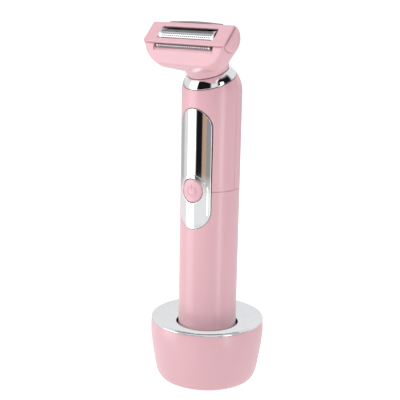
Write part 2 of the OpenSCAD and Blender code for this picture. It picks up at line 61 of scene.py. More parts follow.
def turned(points, tilt):
    """Coordinates in axes tilted forwards by tilt degrees about X."""
    c, s = cos(radians(tilt)), sin(radians(tilt))
    p = np.asarray(points, float)
    return np.stack([p[:, 0], p[:, 1] * c + p[:, 2] * s, -p[:, 1] * s + p[:, 2] * c], 1)


def span(name, tilt=0.0):
    p = turned(node_points(name), tilt)
    return p.min(0), p.max(0)


joints = {j["name"]: j for j in frame["joints"]}


def tilt_of(joint):
    axis = joints[joint]["axis"]
    return degrees(atan2(-axis[1], axis[2]))


NECK_TILT = tilt_of("head_pull")
PLATE_TILT = tilt_of("foil_cassette_lift")


def rotation(angle, axis):
    return Matrix.Rotation(radians(angle), 4, axis)


def tilted_frame(tilt, origin):
    """Matrix from tilted axes, whose origin is given in those same axes, to the CAD frame."""
    rot = rotation(tilt, "X")
    return rot @ Matrix.Translation(Vector(origin))


shell_lo, shell_hi = span("lower_body_shell")
BODY_R = shell_hi[0]
BODY_LOW = shell_lo[2]
SEAM_LOW = shell_hi[2]
SEAM_HIGH = span("upper_rear_shell")[0][2]
WALL = 1.6
can_lo, can_hi = span("motor_can", NECK_TILT)
CAN_TOP = 1.39
neck_origin = (0.0, (can_lo[1] + can_hi[1]) / 2, can_hi[2] - CAN_TOP)
NECK = tilted_frame(NECK_TILT, neck_origin)
DOME_Z = NECK.translation.z
COLLAR_TOP = span("chrome_collar", NECK_TILT)[1][2] - neck_origin[2]
COLLAR_LOW = span("upper_rear_shell", NECK_TILT)[1][2] - neck_origin[2]

plate_lo, plate_hi = span("foil_frame", PLATE_TILT)
head_origin = ((plate_lo + plate_hi) / 2).tolist()
head_origin[2] = plate_hi[2]
HEAD = tilted_frame(PLATE_TILT, head_origin)
PLATE_L, PLATE_W = (plate_hi - plate_lo)[:2]
PLATE_T = 1.2
WINDOW_L = 31.6
WINDOW_W = 7.0


def head_span(name):
    lo, hi = span(name, PLATE_TILT)
    return lo - head_origin, hi - head_origin


panel_lo, panel_hi = span("chrome_front_panel")
PANEL_LOW, PANEL_HIGH = panel_lo[2], panel_hi[2]
PANEL_W = panel_hi[0]
FIELD_R = -panel_lo[1]
PANEL_R = BODY_R + 0.15
button_lo, button_hi = span("power_button")
BUTTON_FLANGE = 0.7
BUTTON_R = button_hi[0] - BUTTON_FLANGE
BUTTON_Z = (button_lo[2] + button_hi[2]) / 2
BUTTON_FACE = -button_lo[1]
BEZEL_W = 8.0

BASE_R, _, BOWL_TOP = span("base_bowl")[1]
DISH_RIM, _, BASE_H = span("base_chrome_top")[1]

# ---- mesh building ----


WELD = 0.0015     # points of a Build closer than this become one
MERGE = 0.0005    # the same after a boolean


class Build:
    """Collects faces with exact normals, then welds them into one closed mesh."""

    def __init__(self):
        self.points, self.normals, self.faces = [], [], []

    def add(self, points, normals, faces):
        base = len(self.points)
        self.points += [tuple(p) for p in points]
        self.normals += [tuple(n) for n in normals]
        self.faces += [tuple(base + i for i in f) for f in faces]

    def mesh(self, name, matrix=None):
        if matrix:
            turn, moved = matrix.to_3x3(), Build()
            moved.add([matrix @ Vector(p) for p in self.points],
                      [turn @ Vector(n) for n in self.normals], self.faces)
            return moved.mesh(name)
        index, welded = [], []
        tree = KDTree(len(self.points))
        for i, p in enumerate(self.points):
            tree.insert(p, i)
        tree.balance()
        first = {}
        for i, p in enumerate(self.points):
            if i not in first:
                for _, j, _ in tree.find_range(p, WELD):
                    first.setdefault(j, len(welded))
                welded.append([c * MM for c in p])
            index.append(first[i])
        faces, corner_normals = [], []
        for f in self.faces:
            loop, kept = [], []
            for i in f:
                if index[i] not in loop:
                    loop.append(index[i])
                    kept.append(self.normals[i])
            if len(loop) < 3:
                continue
            faces.append(loop)
            corner_normals += kept
        mesh = bpy.data.meshes.new(name)
        mesh.from_pydata(welded, [], faces)
        mesh.polygons.foreach_set("use_smooth", [True] * len(mesh.polygons))
        mesh.normals_split_custom_set([Vector(n).normalized() for n in corner_normals])
        mesh.update()
        return mesh


def rounded(corners, steps=6):
    """Outline whose corners (x, y, radius) are turned into arcs."""
    out = []
    count = len(corners)
    for i, (x, y, r) in enumerate(corners):
        here = Vector((x, y))
        if r <= 0:
            out.append((x, y))
            continue
        before = (Vector(corners[i - 1][:2]) - here)
        after = (Vector(corners[(i + 1) % count][:2]) - here)
        room = min(before.length, after.length) * 0.49
        before.normalize()
        after.normalize()
        half = acos(max(-1, min(1, before.dot(after)))) / 2
        if abs(half - pi / 2) < 1e-3:
            out.append((x, y))
            continue
        back = min(r / tan(half), room)
        r = back * tan(half)
        centre = here + (before + after).normalized() * (r / sin(half))
        a = here + before * back - centre
        b = here + after * back - centre
        turn = a.angle_signed(b)
        for k in range(steps + 1):
            t = -turn * k / steps
            out.append((centre.x + a.x * cos(t) - a.y * sin(t),
                        centre.y + a.x * sin(t) + a.y * cos(t)))
    return out


def outline_normals(points, closed=True):
    """Length-weighted normals on the right-hand side of an outline."""
    count = len(points)
    out = []
    for i in range(count):
        n = Vector((0, 0))
        for a, b in ((i - 1, i), (i, i + 1)):
            if not closed and (a < 0 or b >= count):
                continue
            d = Vector(points[b % count]) - Vector(points[a % count])
            n += Vector((d.y, -d.x))
        out.append(n.normalized())
    return out


def lathe(outline, segs=160, closed=True):
    """Turns a closed (r, z) outline, counter-clockwise in the r-z plane, about Z."""
    normals = outline_normals(outline, closed)
    build = Build()
    pts, nrm = [], []
    for k in range(segs):
        c, s = cos(2 * pi * k / segs), sin(2 * pi * k / segs)
        for (r, z), n in zip(outline, normals):
            pts.append((r * c, r * s, z))
            nrm.append((n.x * c, n.x * s, n.y))
    m = len(outline)
    faces = []
    for k in range(segs):
        for i in range(m if closed else m - 1):
            j = (i + 1) % m
            if outline[i][0] < 1e-6 and outline[j][0] < 1e-6:
                continue
            a, b = k * m, (k + 1) % segs * m
            faces.append((a + i, b + i, b + j, a + j))
    build.add(pts, nrm, faces)
    return build


def inset(line, d, closed=True):
    """Moves a line to its left by d. An open line is one period of a ring."""
    pts = [Vector(p) for p in line]
    count = len(pts)
    period = pts[-1] - pts[0]
    out = []
    for i, p in enumerate(pts):
        before = pts[i - 1] if closed or i else pts[-2] - period
        after = pts[(i + 1) % count] if closed or i < count - 1 else pts[1] + period
        a, b = (p - before).normalized(), (after - p).normalized()
        na, nb = Vector((-a.y, a.x)), Vector((-b.y, b.x))
        m = na + nb
        out.append(tuple(p + m * (d / max(m.dot(na), 0.35))))
    return out


def inside(loops, points):
    """Even-odd test of many points against closed loops."""
    p = np.asarray(points, float).reshape(-1, 2)
    hit = np.zeros(len(p), bool)
    for loop in loops:
        a = np.asarray(loop, float)
        b = np.roll(a, -1, 0)
        for (xi, yi), (xj, yj) in zip(a, b):
            if yi != yj:
                cross = (yi > p[:, 1]) != (yj > p[:, 1])
                hit ^= cross & (p[:, 0] < (xj - xi) * (p[:, 1] - yi) / (yj - yi) + xi)
    return hit


def fill(loops, step=None):
    """Triangles between an outer loop and its holes, with inner points on a grid."""
    pts, edges = [], []
    for loop in loops:
        start = len(pts)
        pts += [tuple(p) for p in loop]
        edges += [(start + i, start + (i + 1) % len(loop)) for i in range(len(loop))]
    rim = np.array(pts)
    if step:
        lo, hi = rim.min(0), rim.max(0)
        grid = [(lo[0] + (i + 0.5 * (j % 2)) * step[0], lo[1] + j * step[1])
                for i in range(1, int((hi[0] - lo[0]) / step[0]) + 1)
                for j in range(1, int((hi[1] - lo[1]) / step[1]) + 1)]
        for p, ok in zip(grid, inside(loops, grid)):
            if ok and np.hypot(*((rim - p) / step).T).min() > 0.5:
                pts.append(p)
    res = delaunay_2d_cdt([Vector(p) for p in pts], edges, [], 0, 1e-6)
    verts, faces = [tuple(v) for v in res[0]], res[2]
    centres = [np.mean([verts[i] for i in f], 0) for f in faces]
    kept, slivers, borders = [], [], set()
    for f, ok in zip(faces, inside(loops, centres)):
        (ax, ay), (bx, by), (cx, cy) = (verts[i] for i in f[:3])
        turn = (bx - ax) * (cy - ay) - (by - ay) * (cx - ax)
        f = tuple(f) if turn > 0 else tuple(reversed(f))
        if abs(turn) < 1e-6:
            slivers.append(f)
        elif ok:
            kept.append(f)
            borders.update(zip(f, f[1:] + f[:1]))
    found = True
    while found:
        found = False
        for f in list(slivers):
            ends = max(zip(f, f[1:] + f[:1]), key=lambda e: dist(verts[e[0]], verts[e[1]]))
            if ends[::-1] in borders:
                kept.append(f)
                borders.update(zip(f, f[1:] + f[:1]))
                slivers.remove(f)
                found = True
    return verts, kept


def skin(build, loops, surface, step=None, flip=False):
    """One face of a sheet: surface(u, v) gives a point and its outward normal."""
    verts, faces = fill(loops, step)
    data = [surface(*p) for p in verts]
    build.add([d[0] for d in data], [d[1] for d in data],
              [tuple(reversed(f)) for f in faces] if flip else faces)


def on(surface, line):
    return [surface(*p)[0] for p in line]


def rim(build, line, surface, low, edge, steps=4, closed=True):
    """The rounded edge of a face along a line, then the wall down to the points low."""
    count = len(line)
    wrap = count if closed else count - 1
    top = [(Vector(p), Vector(n).normalized()) for p, n in (surface(*q) for q in line)]
    start = [(Vector(p), Vector(n).normalized())
             for p, n in (surface(*q) for q in inset(line, edge, closed))]
    low = [Vector(p) for p in low]
    side = []
    for i in range(count):
        before = top[(i - 1) % wrap][0]
        after = top[(i + 1) % wrap][0]
        side.append((after - before).cross(top[i][1]).normalized())
    rings = [([p for p, _ in start], [n for _, n in start])]
    for k in range(1, steps + 1):
        t = pi / 2 * k / steps
        ring, normals = [], []
        for (p, up), (q, _), end, out in zip(top, start, low, side):
            down = (end - p).normalized() * edge
            ring.append(q + down * (1 - cos(t)) + (p - q) * sin(t))
            normals.append((up * cos(t) + out * sin(t)).normalized())
        rings.append((ring, normals))
    rings.append((low, side))
    for (a, na), (b, nb) in zip(rings, rings[1:]):
        strip(build, b, nb, a, na, closed)


def strip(build, a_pts, a_nrm, b_pts, b_nrm, closed=True):
    """Quads between two lines of the same length."""
    m = len(a_pts)
    faces = []
    for i in range(m if closed else m - 1):
        j = (i + 1) % m
        faces.append((i, j, m + j, m + i))
    build.add(list(a_pts) + list(b_pts), list(a_nrm) + list(b_nrm), faces)


def polar(cx, cy, r, angle):
    a = radians(angle)
    return cx + r * cos(a), cy + r * sin(a)


def arc(cx, cy, r, start, end, steps):
    return [polar(cx, cy, r, start + (end - start) * k / steps) for k in range(steps + 1)]


def circle(cx, cy, r, steps=64, clockwise=False):
    pts = arc(cx, cy, r, 0, 360, steps)[:-1]
    return pts[::-1] if clockwise else pts


def dense(loop, step):
    """Adds points along a closed loop so that none are further apart than step."""
    out = []
    for i, p in enumerate(loop):
        q = loop[(i + 1) % len(loop)]
        n = max(1, ceil(dist(p, q) / step))
        out += [(p[0] + (q[0] - p[0]) * k / n, p[1] + (q[1] - p[1]) * k / n) for k in range(n)]
    return out


def pill(half_w, low, high, steps=28):
    return (arc(0, low + half_w, half_w, 180, 360, steps) +
            arc(0, high - half_w, half_w, 0, 180, steps))


def rounded_rect(length, width, r, steps):
    x, y = length / 2, width / 2
    return rounded([(-x, -y, r), (x, -y, r), (x, y, r), (-x, y, r)], steps)


def add_object(name, data):
    obj = bpy.data.objects.new(name, data)
    bpy.context.scene.collection.objects.link(obj)
    return obj


def piece(name, mesh, slot, body, node):
    """Puts a mesh in the scene, standing for a CAD node and riding on a body."""
    obj = add_object(name, mesh)
    mesh.materials.append(MATERIALS[slot])
    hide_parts(node)
    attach(obj, body)
    return obj


def settle(obj):
    """Bakes an object's modifiers into its mesh."""
    dg = bpy.context.evaluated_depsgraph_get()
    mesh = bpy.data.meshes.new_from_object(obj.evaluated_get(dg))
    old = obj.data
    obj.modifiers.clear()
    obj.data = mesh
    bpy.data.meshes.remove(old)


def smooth_by_angle(mesh, angle):
    mesh.polygons.foreach_set("use_smooth", [True] * len(mesh.polygons))
    mesh.set_sharp_from_angle(angle=radians(angle))


def loose(mesh):
    return add_object("loose", mesh)


def to_mesh(bm, name):
    """Writes a bmesh into a new mesh and frees it."""
    mesh = bpy.data.meshes.new(name)
    bm.to_mesh(mesh)
    bm.free()
    return mesh


def join(obj, other, how):
    """Exact boolean of an object with another one, which is used up."""
    mod = obj.modifiers.new("cut", "BOOLEAN")
    mod.object, mod.operation, mod.solver = other, how, "EXACT"
    settle(obj)
    bpy.data.objects.remove(other)


def combine(mesh, tools, how="DIFFERENCE"):
    """Exact boolean of a mesh with tool meshes, which are used up; then tiny edges are merged."""
    obj = loose(mesh)
    for tool in tools:
        other = loose(tool)
        join(obj, other, how)
        bpy.data.meshes.remove(tool)
    mesh = obj.data
    bpy.data.objects.remove(obj)
    bm = bmesh.new()
    bm.from_mesh(mesh)
    bmesh.ops.remove_doubles(bm, verts=bm.verts, dist=MERGE * MM)
    bmesh.ops.dissolve_degenerate(bm, edges=bm.edges, dist=MERGE * MM)
    bm.to_mesh(mesh)
    bm.free()
    return mesh


# ---- materials ----


def socket(shader, name, value):
    shader.inputs[name].default_value = value


class Graph:
    """A few shorthands for building a node tree."""

    def __init__(self, tree):
        self.tree = tree

    def node(self, kind, **props):
        n = self.tree.nodes.new("ShaderNode" + kind)
        for k, v in props.items():
            setattr(n, k, v)
        return n

    def link(self, a, b):
        self.tree.links.new(a, b)

    def feed(self, node, inputs):
        """Sets each input to a number or colour, or links it to a socket."""
        for key, v in inputs.items():
            if isinstance(v, (int, float)):
                node.inputs[key].default_value = v
            elif isinstance(v, tuple):
                node.inputs[key].default_value = (*v[:3], 1)
            else:
                self.link(v, node.inputs[key])

    def remap(self, value, lo, hi, from_lo=0.3, from_hi=0.7):
        n = self.node("MapRange")
        self.feed(n, {"From Min": from_lo, "From Max": from_hi, "To Min": lo, "To Max": hi,
                      "Value": value})
        return n.outputs["Result"]

    def mix(self, fac, a, b):
        n = self.node("Mix", data_type="RGBA")
        self.feed(n, {6: a, 7: b, 0: fac})
        return n.outputs[2]

    def math(self, how, *values):
        n = self.node("Math", operation=how)
        self.feed(n, dict(enumerate(values)))
        return n.outputs[0]


class Nodes(Graph):
    """A material's nodes, laid out in object coordinates."""

    def __init__(self, name):
        self.mat = bpy.data.materials.new(name)
        self.mat.use_nodes = True
        super().__init__(self.mat.node_tree)
        self.shader = self.tree.nodes["Principled BSDF"]
        self.place = self.node("TexCoord").outputs["Object"]

    def stretched(self, scale):
        m = self.node("Mapping")
        m.inputs["Scale"].default_value = scale
        self.link(self.place, m.inputs["Vector"])
        return m.outputs["Vector"]

    def noise(self, size_mm, detail=3.0, rough=0.55, vector=None):
        """Noise whose features are about size_mm across."""
        n = self.node("TexNoise")
        self.feed(n, {"Scale": 1.0 / (size_mm * MM), "Detail": detail, "Roughness": rough,
                      "Vector": vector or self.place})
        return n.outputs["Fac"]

    def bands(self, scale, distortion, **props):
        n = self.node("TexWave", wave_type="BANDS", **props)
        self.feed(n, {"Scale": scale, "Distortion": distortion, "Vector": self.place})
        return n.outputs["Fac"]

    def bump(self, height, strength, depth_mm, after=None):
        n = self.node("Bump")
        self.feed(n, {"Strength": strength, "Distance": depth_mm * MM, "Height": height})
        if after:
            self.link(after, n.inputs["Normal"])
        return n.outputs["Normal"]

    def finish(self, colour, rough, normal, **sockets):
        self.feed(self.shader, {"Base Color": colour, "Roughness": rough, "Normal": normal})
        for key, value in sockets.items():
            socket(self.shader, key.replace("_", " "), value)
        return self.mat


def shade(c, k):
    return tuple(min(1.0, v * k) for v in c)


def satin_plastic(name, colour, rough=0.3, grain_mm=0.16, grain=0.012, coat=0.25):
    """Lacquered plastic: faint clouding, a fine orange-peel grain and slightly uneven gloss."""
    n = Nodes(name)
    cloud = n.noise(22, 2)
    speck = n.noise(0.25, 2)
    base = n.mix(n.remap(cloud, 0, 1), shade(colour, 0.985), shade(colour, 1.015))
    tone = n.mix(n.remap(speck, 0, 0.12), base, shade(colour, 0.93))
    gloss = n.remap(n.noise(3.5, 4), rough - 0.015, rough + 0.02)
    peel = n.bump(n.noise(1.4, 2), 0.06, 0.01)
    fine = n.bump(n.noise(grain_mm, 2), 0.25, grain, peel)
    return n.finish(tone, gloss, fine, Coat_Weight=coat, Coat_Roughness=0.16, IOR=1.48)


def matt_plastic(name, colour, rough=0.5, grain=0.03):
    """Plain moulded plastic: spark-eroded grain, faint flow clouds and scuffs."""
    n = Nodes(name)
    cloud = n.noise(9, 3)
    scuff = n.noise(1.2, 6, 0.7, n.stretched((1, 3, 0.6)))
    base = n.mix(n.remap(cloud, 0, 1), shade(colour, 0.94), shade(colour, 1.03))
    tone = n.mix(n.remap(scuff, 0, 0.3, 0.55, 0.8), base, shade(colour, 1.25))
    gloss = n.remap(n.noise(0.6, 4), rough - 0.07, rough + 0.09)
    fine = n.bump(n.noise(0.12, 3), 0.5, grain)
    return n.finish(tone, gloss, fine, IOR=1.47)


def chrome_plate(name, colour, rough=0.02):
    """Bright plating: long moulding waves, faint smudges and hairline wiping marks."""
    n = Nodes(name)
    smudge = n.noise(6, 5, 0.6)
    wipe = n.noise(0.35, 3, 0.6, n.stretched((1, 1, 0.08)))
    tone = n.mix(n.remap(smudge, 0, 0.5, 0.45, 0.75), colour, shade(colour, 0.93))
    film = n.math("ADD", n.remap(smudge, rough, rough + 0.03, 0.4, 0.75),
                  n.remap(wipe, 0.0, 0.02, 0.5, 0.8))
    wave = n.bump(n.noise(9, 1), 0.25, 0.012)
    fine = n.bump(wipe, 0.12, 0.0015, wave)
    return n.finish(tone, film, fine, Metallic=1.0)


def drawn_metal(name, colour, rough=0.3, along=(1, 1, 1), line_mm=0.12, lines=0.01, tarnish=0.12):
    """Worked metal: grain lines stretched along the working direction, and light tarnish."""
    n = Nodes(name)
    grain = n.noise(line_mm, 4, 0.6, n.stretched(along))
    stain = n.noise(2.6, 5, 0.6)
    tone = n.mix(n.remap(stain, 0, 1, 0.4, 0.8), colour, shade(colour, 1 - tarnish))
    tone = n.mix(n.remap(grain, 0, 0.3), tone, shade(colour, 0.75))
    gloss = n.math("ADD", n.remap(grain, rough - 0.05, rough + 0.07), n.remap(stain, 0, 0.05))
    fine = n.bump(grain, 0.4, lines)
    return n.finish(tone, gloss, fine, Metallic=1.0)


def rubber(name, colour):
    """Soft matt rubber: coarse grain and a dusty bloom."""
    n = Nodes(name)
    dust = n.noise(2.2, 6, 0.7)
    tone = n.mix(n.remap(dust, 0, 0.5, 0.5, 0.8), colour, shade(colour, 3.2))
    gloss = n.remap(n.noise(0.7, 3), 0.68, 0.85)
    fine = n.bump(n.noise(0.22, 3), 0.6, 0.04)
    return n.finish(tone, gloss, fine, IOR=1.52)


def solder_mask(name, colour):
    """Green board: lighter copper tracks under the mask, and woven glass showing faintly."""
    n = Nodes(name)
    weave = n.bands(420, 1.5, bands_direction="DIAGONAL")
    brick = n.node("TexBrick", offset=0.5)
    n.feed(brick, {"Scale": 90.0, "Mortar Size": 0.06, "Vector": n.place})
    tracks = brick.outputs["Fac"]
    base = n.mix(n.remap(weave, 0, 0.35, 0, 1), colour, shade(colour, 1.5))
    tone = n.mix(tracks, base, shade(colour, 2.4))
    gloss = n.remap(n.noise(1.5, 3), 0.25, 0.38)
    fine = n.bump(tracks, 0.4, 0.03)
    return n.finish(tone, gloss, fine, Coat_Weight=0.4, Coat_Roughness=0.12)


def winding(name, colour):
    """Enamelled wire laid side by side, with painted shade in the grooves between turns and painted
    highlights on their crests.
    """
    n = Nodes(name)
    wave = n.bands(900, 0.8, bands_direction="Z", wave_profile="SIN")
    # Colour follows the bump's wave: painted shade in the grooves between turns, painted highlight
    # on their crests
    tone = n.mix(wave, shade(colour, 0.5), shade(colour, 1.15))
    gloss = n.remap(n.noise(0.8, 3), 0.22, 0.4)
    fine = n.bump(wave, 0.8, 0.08)
    return n.finish(tone, gloss, fine, Metallic=0.85, Coat_Weight=0.5)


def sleeve(name, colour):
    """Shrink sleeve on a cell: a pale band, slight wrinkles."""
    n = Nodes(name)
    wrinkle = n.noise(1.6, 4, 0.6, n.stretched((1, 1, 0.25)))
    parts = n.node("SeparateXYZ")
    n.link(n.place, parts.inputs[0])
    band = n.math("GREATER_THAN", parts.outputs["Z"], SLEEVE_BAND_Z * MM)
    base = n.mix(n.remap(n.noise(5, 3), 0, 1), shade(colour, 0.9), shade(colour, 1.1))
    tone = n.mix(band, base, (0.82, 0.83, 0.84))
    fine = n.bump(wrinkle, 0.35, 0.05)
    return n.finish(tone, n.remap(wrinkle, 0.2, 0.33), fine, Coat_Weight=0.3)


SLEEVE_BAND_Z = 64
PINK = (0.85, 0.50, 0.55)
WHITE = (0.80, 0.78, 0.75)
STEEL = (0.62, 0.63, 0.65)
CHROME = (0.86, 0.87, 0.88)

MATERIALS = {name: make(name, *rest) for name, make, *rest in (
    ("satin_pink_base", satin_plastic, PINK),
    ("satin_pink_shell", satin_plastic, PINK),
    ("satin_pink_head", satin_plastic, PINK, 0.3, 0.12),
    ("pink_button", satin_plastic, PINK, 0.33),
    ("pink_plate", matt_plastic, PINK, 0.45),
    ("chrome_dish", chrome_plate, CHROME, 0.05),
    ("chrome_collar", chrome_plate, CHROME),
    ("chrome_panel", chrome_plate, CHROME),
    ("white_well", matt_plastic, WHITE, 0.42),
    ("white_inner", matt_plastic, WHITE, 0.45),
    ("acetal", matt_plastic, (0.86, 0.86, 0.84), 0.35, 0.01),
    ("cap_plastic", matt_plastic, (0.70, 0.66, 0.58), 0.5),
    ("carrier_grey", matt_plastic, (0.09, 0.095, 0.11), 0.45),
    ("switch_black", matt_plastic, (0.03, 0.03, 0.033), 0.4),
    ("socket_black", matt_plastic, (0.025, 0.025, 0.025), 0.45),
    ("foot_rubber", rubber, (0.035, 0.035, 0.036)),
    ("seal_rubber", rubber, (0.02, 0.02, 0.021)),
    ("board", solder_mask, (0.02, 0.13, 0.06)),
    ("copper_winding", winding, (0.72, 0.32, 0.14)),
    ("cell_sleeve", sleeve, (0.07, 0.17, 0.42)),
    ("ferrite", matt_plastic, (0.06, 0.06, 0.065), 0.6, 0.05),
    ("screw_steel", drawn_metal, STEEL, 0.32, (3, 3, 1)),
    ("spring_steel", drawn_metal, (0.58, 0.59, 0.61), 0.28, (1, 1, 4)),
    ("motor_steel", drawn_metal, (0.58, 0.58, 0.59), 0.3, (5, 5, 0.5)),
    ("shaft_steel", drawn_metal, (0.68, 0.69, 0.70), 0.2, (1, 1, 8), 0.2, 0.004),
    ("nickel", drawn_metal, (0.66, 0.64, 0.58), 0.3, (6, 1, 1)),
    ("gold_barrel", drawn_metal, (0.86, 0.62, 0.26), 0.28, (1, 1, 5)),
    ("gold_pin", drawn_metal, (0.92, 0.70, 0.32), 0.2, (1, 1, 5), 0.15, 0.004),
    ("gold_contact", drawn_metal, (0.88, 0.65, 0.28), 0.25, (4, 4, 1)),
    ("comb_steel", drawn_metal, (0.58, 0.59, 0.60), 0.25, (0.6, 8, 8), 0.15, 0.006),
    # blade_steel is comb_steel darkened to about half its brightness, which paints shade on the
    # cutter blades inside the head
    ("blade_steel", drawn_metal, (0.30, 0.30, 0.31), 0.3, (0.6, 8, 8), 0.15, 0.006),
    ("foil_steel", drawn_metal, (0.70, 0.71, 0.72), 0.3, (8, 0.6, 0.6), 0.15, 0.004),
)}

# Parts in and under the lower shell. Like that shell, they are left out of all reflections.
INNER = ("battery_cell", "battery_lower_contact", "battery_upper_contact", "chassis",
         "charge_contacts", "circuit_board", "board_screws", "tact_switch", "contact_pin_left",
         "contact_pin_right", "motor_can", "base_well")

for node_name, obj in frame["nodes"].items():
    obj.visible_glossy = node_name not in INNER
    for held in obj.material_slots:
        held.material = MATERIALS[held.material.name.split(".")[0]] if held.material else None

# The rear trimmer comb takes the darkened blade steel too, so it carries the same painted shade
frame["nodes"]["rear_trimmer_comb"].material_slots[0].material = MATERIALS["blade_steel"]

# ---- charging base ----

profile = {}
for x, y, z in node_points("base_bowl"):
    profile[round(z, 2)] = max(profile.get(round(z, 2), 0), hypot(x, y))
bowl_z = sorted(z for z in profile if profile[z] > BASE_R - 7)
bowl_curve = np.polyfit([(z / BASE_H) ** 0.5 for z in bowl_z], [profile[z] for z in bowl_z], 5)


def bowl_radius(z):
    return float(np.polyval(bowl_curve, (max(z, 0.25) / BASE_H) ** 0.5))


FOOT_R = bowl_radius(0.3)
BOWL_T = 2.2
brim = 0.35
brim_z = BOWL_TOP - brim
brim_r = bowl_radius(brim_z) - brim
side = [(bowl_radius(z), z) for z in np.concatenate([np.linspace(1.0, 8, 9),
                                                     np.linspace(9.2, brim_z - 0.2, 15)])]
bowl_outline = ([(FOOT_R - 0.9, 0.3), (FOOT_R - 0.35, 0.38), (FOOT_R + 0.05, 0.6)] + side +
                arc(brim_r, brim_z, brim, 0, 90, 5) +
                [(BASE_R - 1.6, BOWL_TOP), (BASE_R - 1.6, BOWL_TOP - 1.4),
                 (BASE_R - BOWL_T, BOWL_TOP - 1.4)] +
                [(bowl_radius(z) - BOWL_T, z) for z in np.linspace(BOWL_TOP - 2, 1.4, 14)] +
                [(FOOT_R - BOWL_T, 0.6), (FOOT_R - 2.1, 0.3)])
bowl_build = lathe(bowl_outline, 192)
SOCKET_Z = 9.2
hole = lathe(rounded([(0, 10, 0), (3.15, 10, 0), (3.15, 40, 0), (0, 40, 0)]), 64)
turn_back = Matrix.Translation((0, 0, SOCKET_Z)) @ Matrix.Rotation(-pi / 2, 4, "X")
bowl_mesh = combine(bowl_build.mesh("base_bowl_shell"), [hole.mesh("hole", turn_back)])


def bowl_normals(mesh):
    """Exact normals on the turned outside of the bowl, flat ones elsewhere."""
    normals = [None] * len(mesh.loops)
    for poly in mesh.polygons:
        for li in poly.loop_indices:
            x, y, z = mesh.vertices[mesh.loops[li].vertex_index].co / MM
            r = hypot(x, y)
            out = poly.normal.x * x + poly.normal.y * y
            if abs(r - bowl_radius(z)) < 0.05 and 0.9 < z < brim_z - 0.1 and out > 0.5 * r:
                slope = (bowl_radius(z + 0.05) - bowl_radius(z - 0.05)) / 0.1
                normals[li] = Vector((x / r, y / r, -slope)).normalized()
            else:
                normals[li] = mesh.corner_normals[li].vector.copy()
    mesh.normals_split_custom_set(normals)


smooth_by_angle(bowl_mesh, 30)
bowl_normals(bowl_mesh)
piece("base_bowl_shell", bowl_mesh, "satin_pink_base", "base", "base_bowl")

HOLE_R = 15.35
DISH_LOW = BASE_H - 2.4
lip = 0.3
dish_curve = []
for t in np.linspace(0, 1, 20):
    r = HOLE_R + 0.9 + (DISH_RIM - lip - HOLE_R - 0.9) * t
    dish_curve.append((r, DISH_LOW + (BASE_H - DISH_LOW) * (1 - cos(t * pi / 2))))
dish_outline = (dish_curve[::-1][1:] +
                arc(HOLE_R + 0.8, DISH_LOW - 0.75, 0.75, 96, 180, 6) +
                [(HOLE_R + 0.05, DISH_LOW - 4), (HOLE_R + 1.2, DISH_LOW - 4),
                 (HOLE_R + 1.2, DISH_LOW - 1.3), (DISH_RIM - 3, BOWL_TOP - 0.9),
                 (DISH_RIM - 1.5, BOWL_TOP + 0.05), (DISH_RIM, BOWL_TOP + 0.05)] +
                arc(DISH_RIM - lip, BASE_H - lip, lip, 0, 90, 6))
piece("base_dish", lathe(dish_outline, 192).mesh("base_dish"), "chrome_dish", "base",
      "base_chrome_top")

pad_r, _, pad_top = span("foot_pad")[1]
pad_outline = rounded([(0, 0, 0), (3, 0, 0.1), (3.2, 0.3, 0.1), (4.2, 0.3, 0.1), (4.4, 0, 0.1),
                       (pad_r - 3.2, 0, 0.1), (pad_r - 3.0, 0.3, 0.1), (pad_r - 2.0, 0.3, 0.1),
                       (pad_r - 1.8, 0, 0.1), (pad_r, 0, 0.3), (pad_r, pad_top, 0.2),
                       (0, pad_top, 0)], 4)
piece("anti_slip_pad", lathe(pad_outline, 128).mesh("anti_slip_pad"), "foot_rubber", "base",
      "foot_pad")

# ---- handpiece shells ----


def body_point(r_off=0.0, outward=1):
    """Surface of the round body and its dome: u is arc length round it, v along it."""
    r = BODY_R - r_off

    def at(u, v):
        a = u / BODY_R
        lat = max(0.0, (v - DOME_Z) / BODY_R)
        z = min(v, DOME_Z)
        n = (cos(lat) * sin(a), -cos(lat) * cos(a), sin(lat))
        return (r * n[0], r * n[1], z + r * n[2]), tuple(outward * c for c in n)
    return at


def collar_line(u):
    """Where the body meets the plane across the neck, as a height along the body."""
    a = sin(radians(NECK_TILT)) * cos(u / BODY_R)
    b = cos(radians(NECK_TILT))
    m = hypot(a, b)
    lat = atan2(b, a) - acos(COLLAR_LOW / (BODY_R * m))
    return DOME_Z + BODY_R * lat


GAP_W = 0.26
CUT_W = PANEL_W + GAP_W
CUT_LOW, CUT_HIGH = PANEL_LOW - GAP_W, PANEL_HIGH + GAP_W


def round_u(x):
    return BODY_R * asin(x / BODY_R)


HALF_TURN = pi * BODY_R
EDGE = 0.22
outside, within = body_point(), body_point(WALL, -1)


def once_round(bottom, ladder, top):
    """A region once round the body, with the same heights on both of its joining sides."""
    return (bottom + [(HALF_TURN, z) for z in ladder] + top +
            [(-HALF_TURN, z) for z in ladder[::-1]])


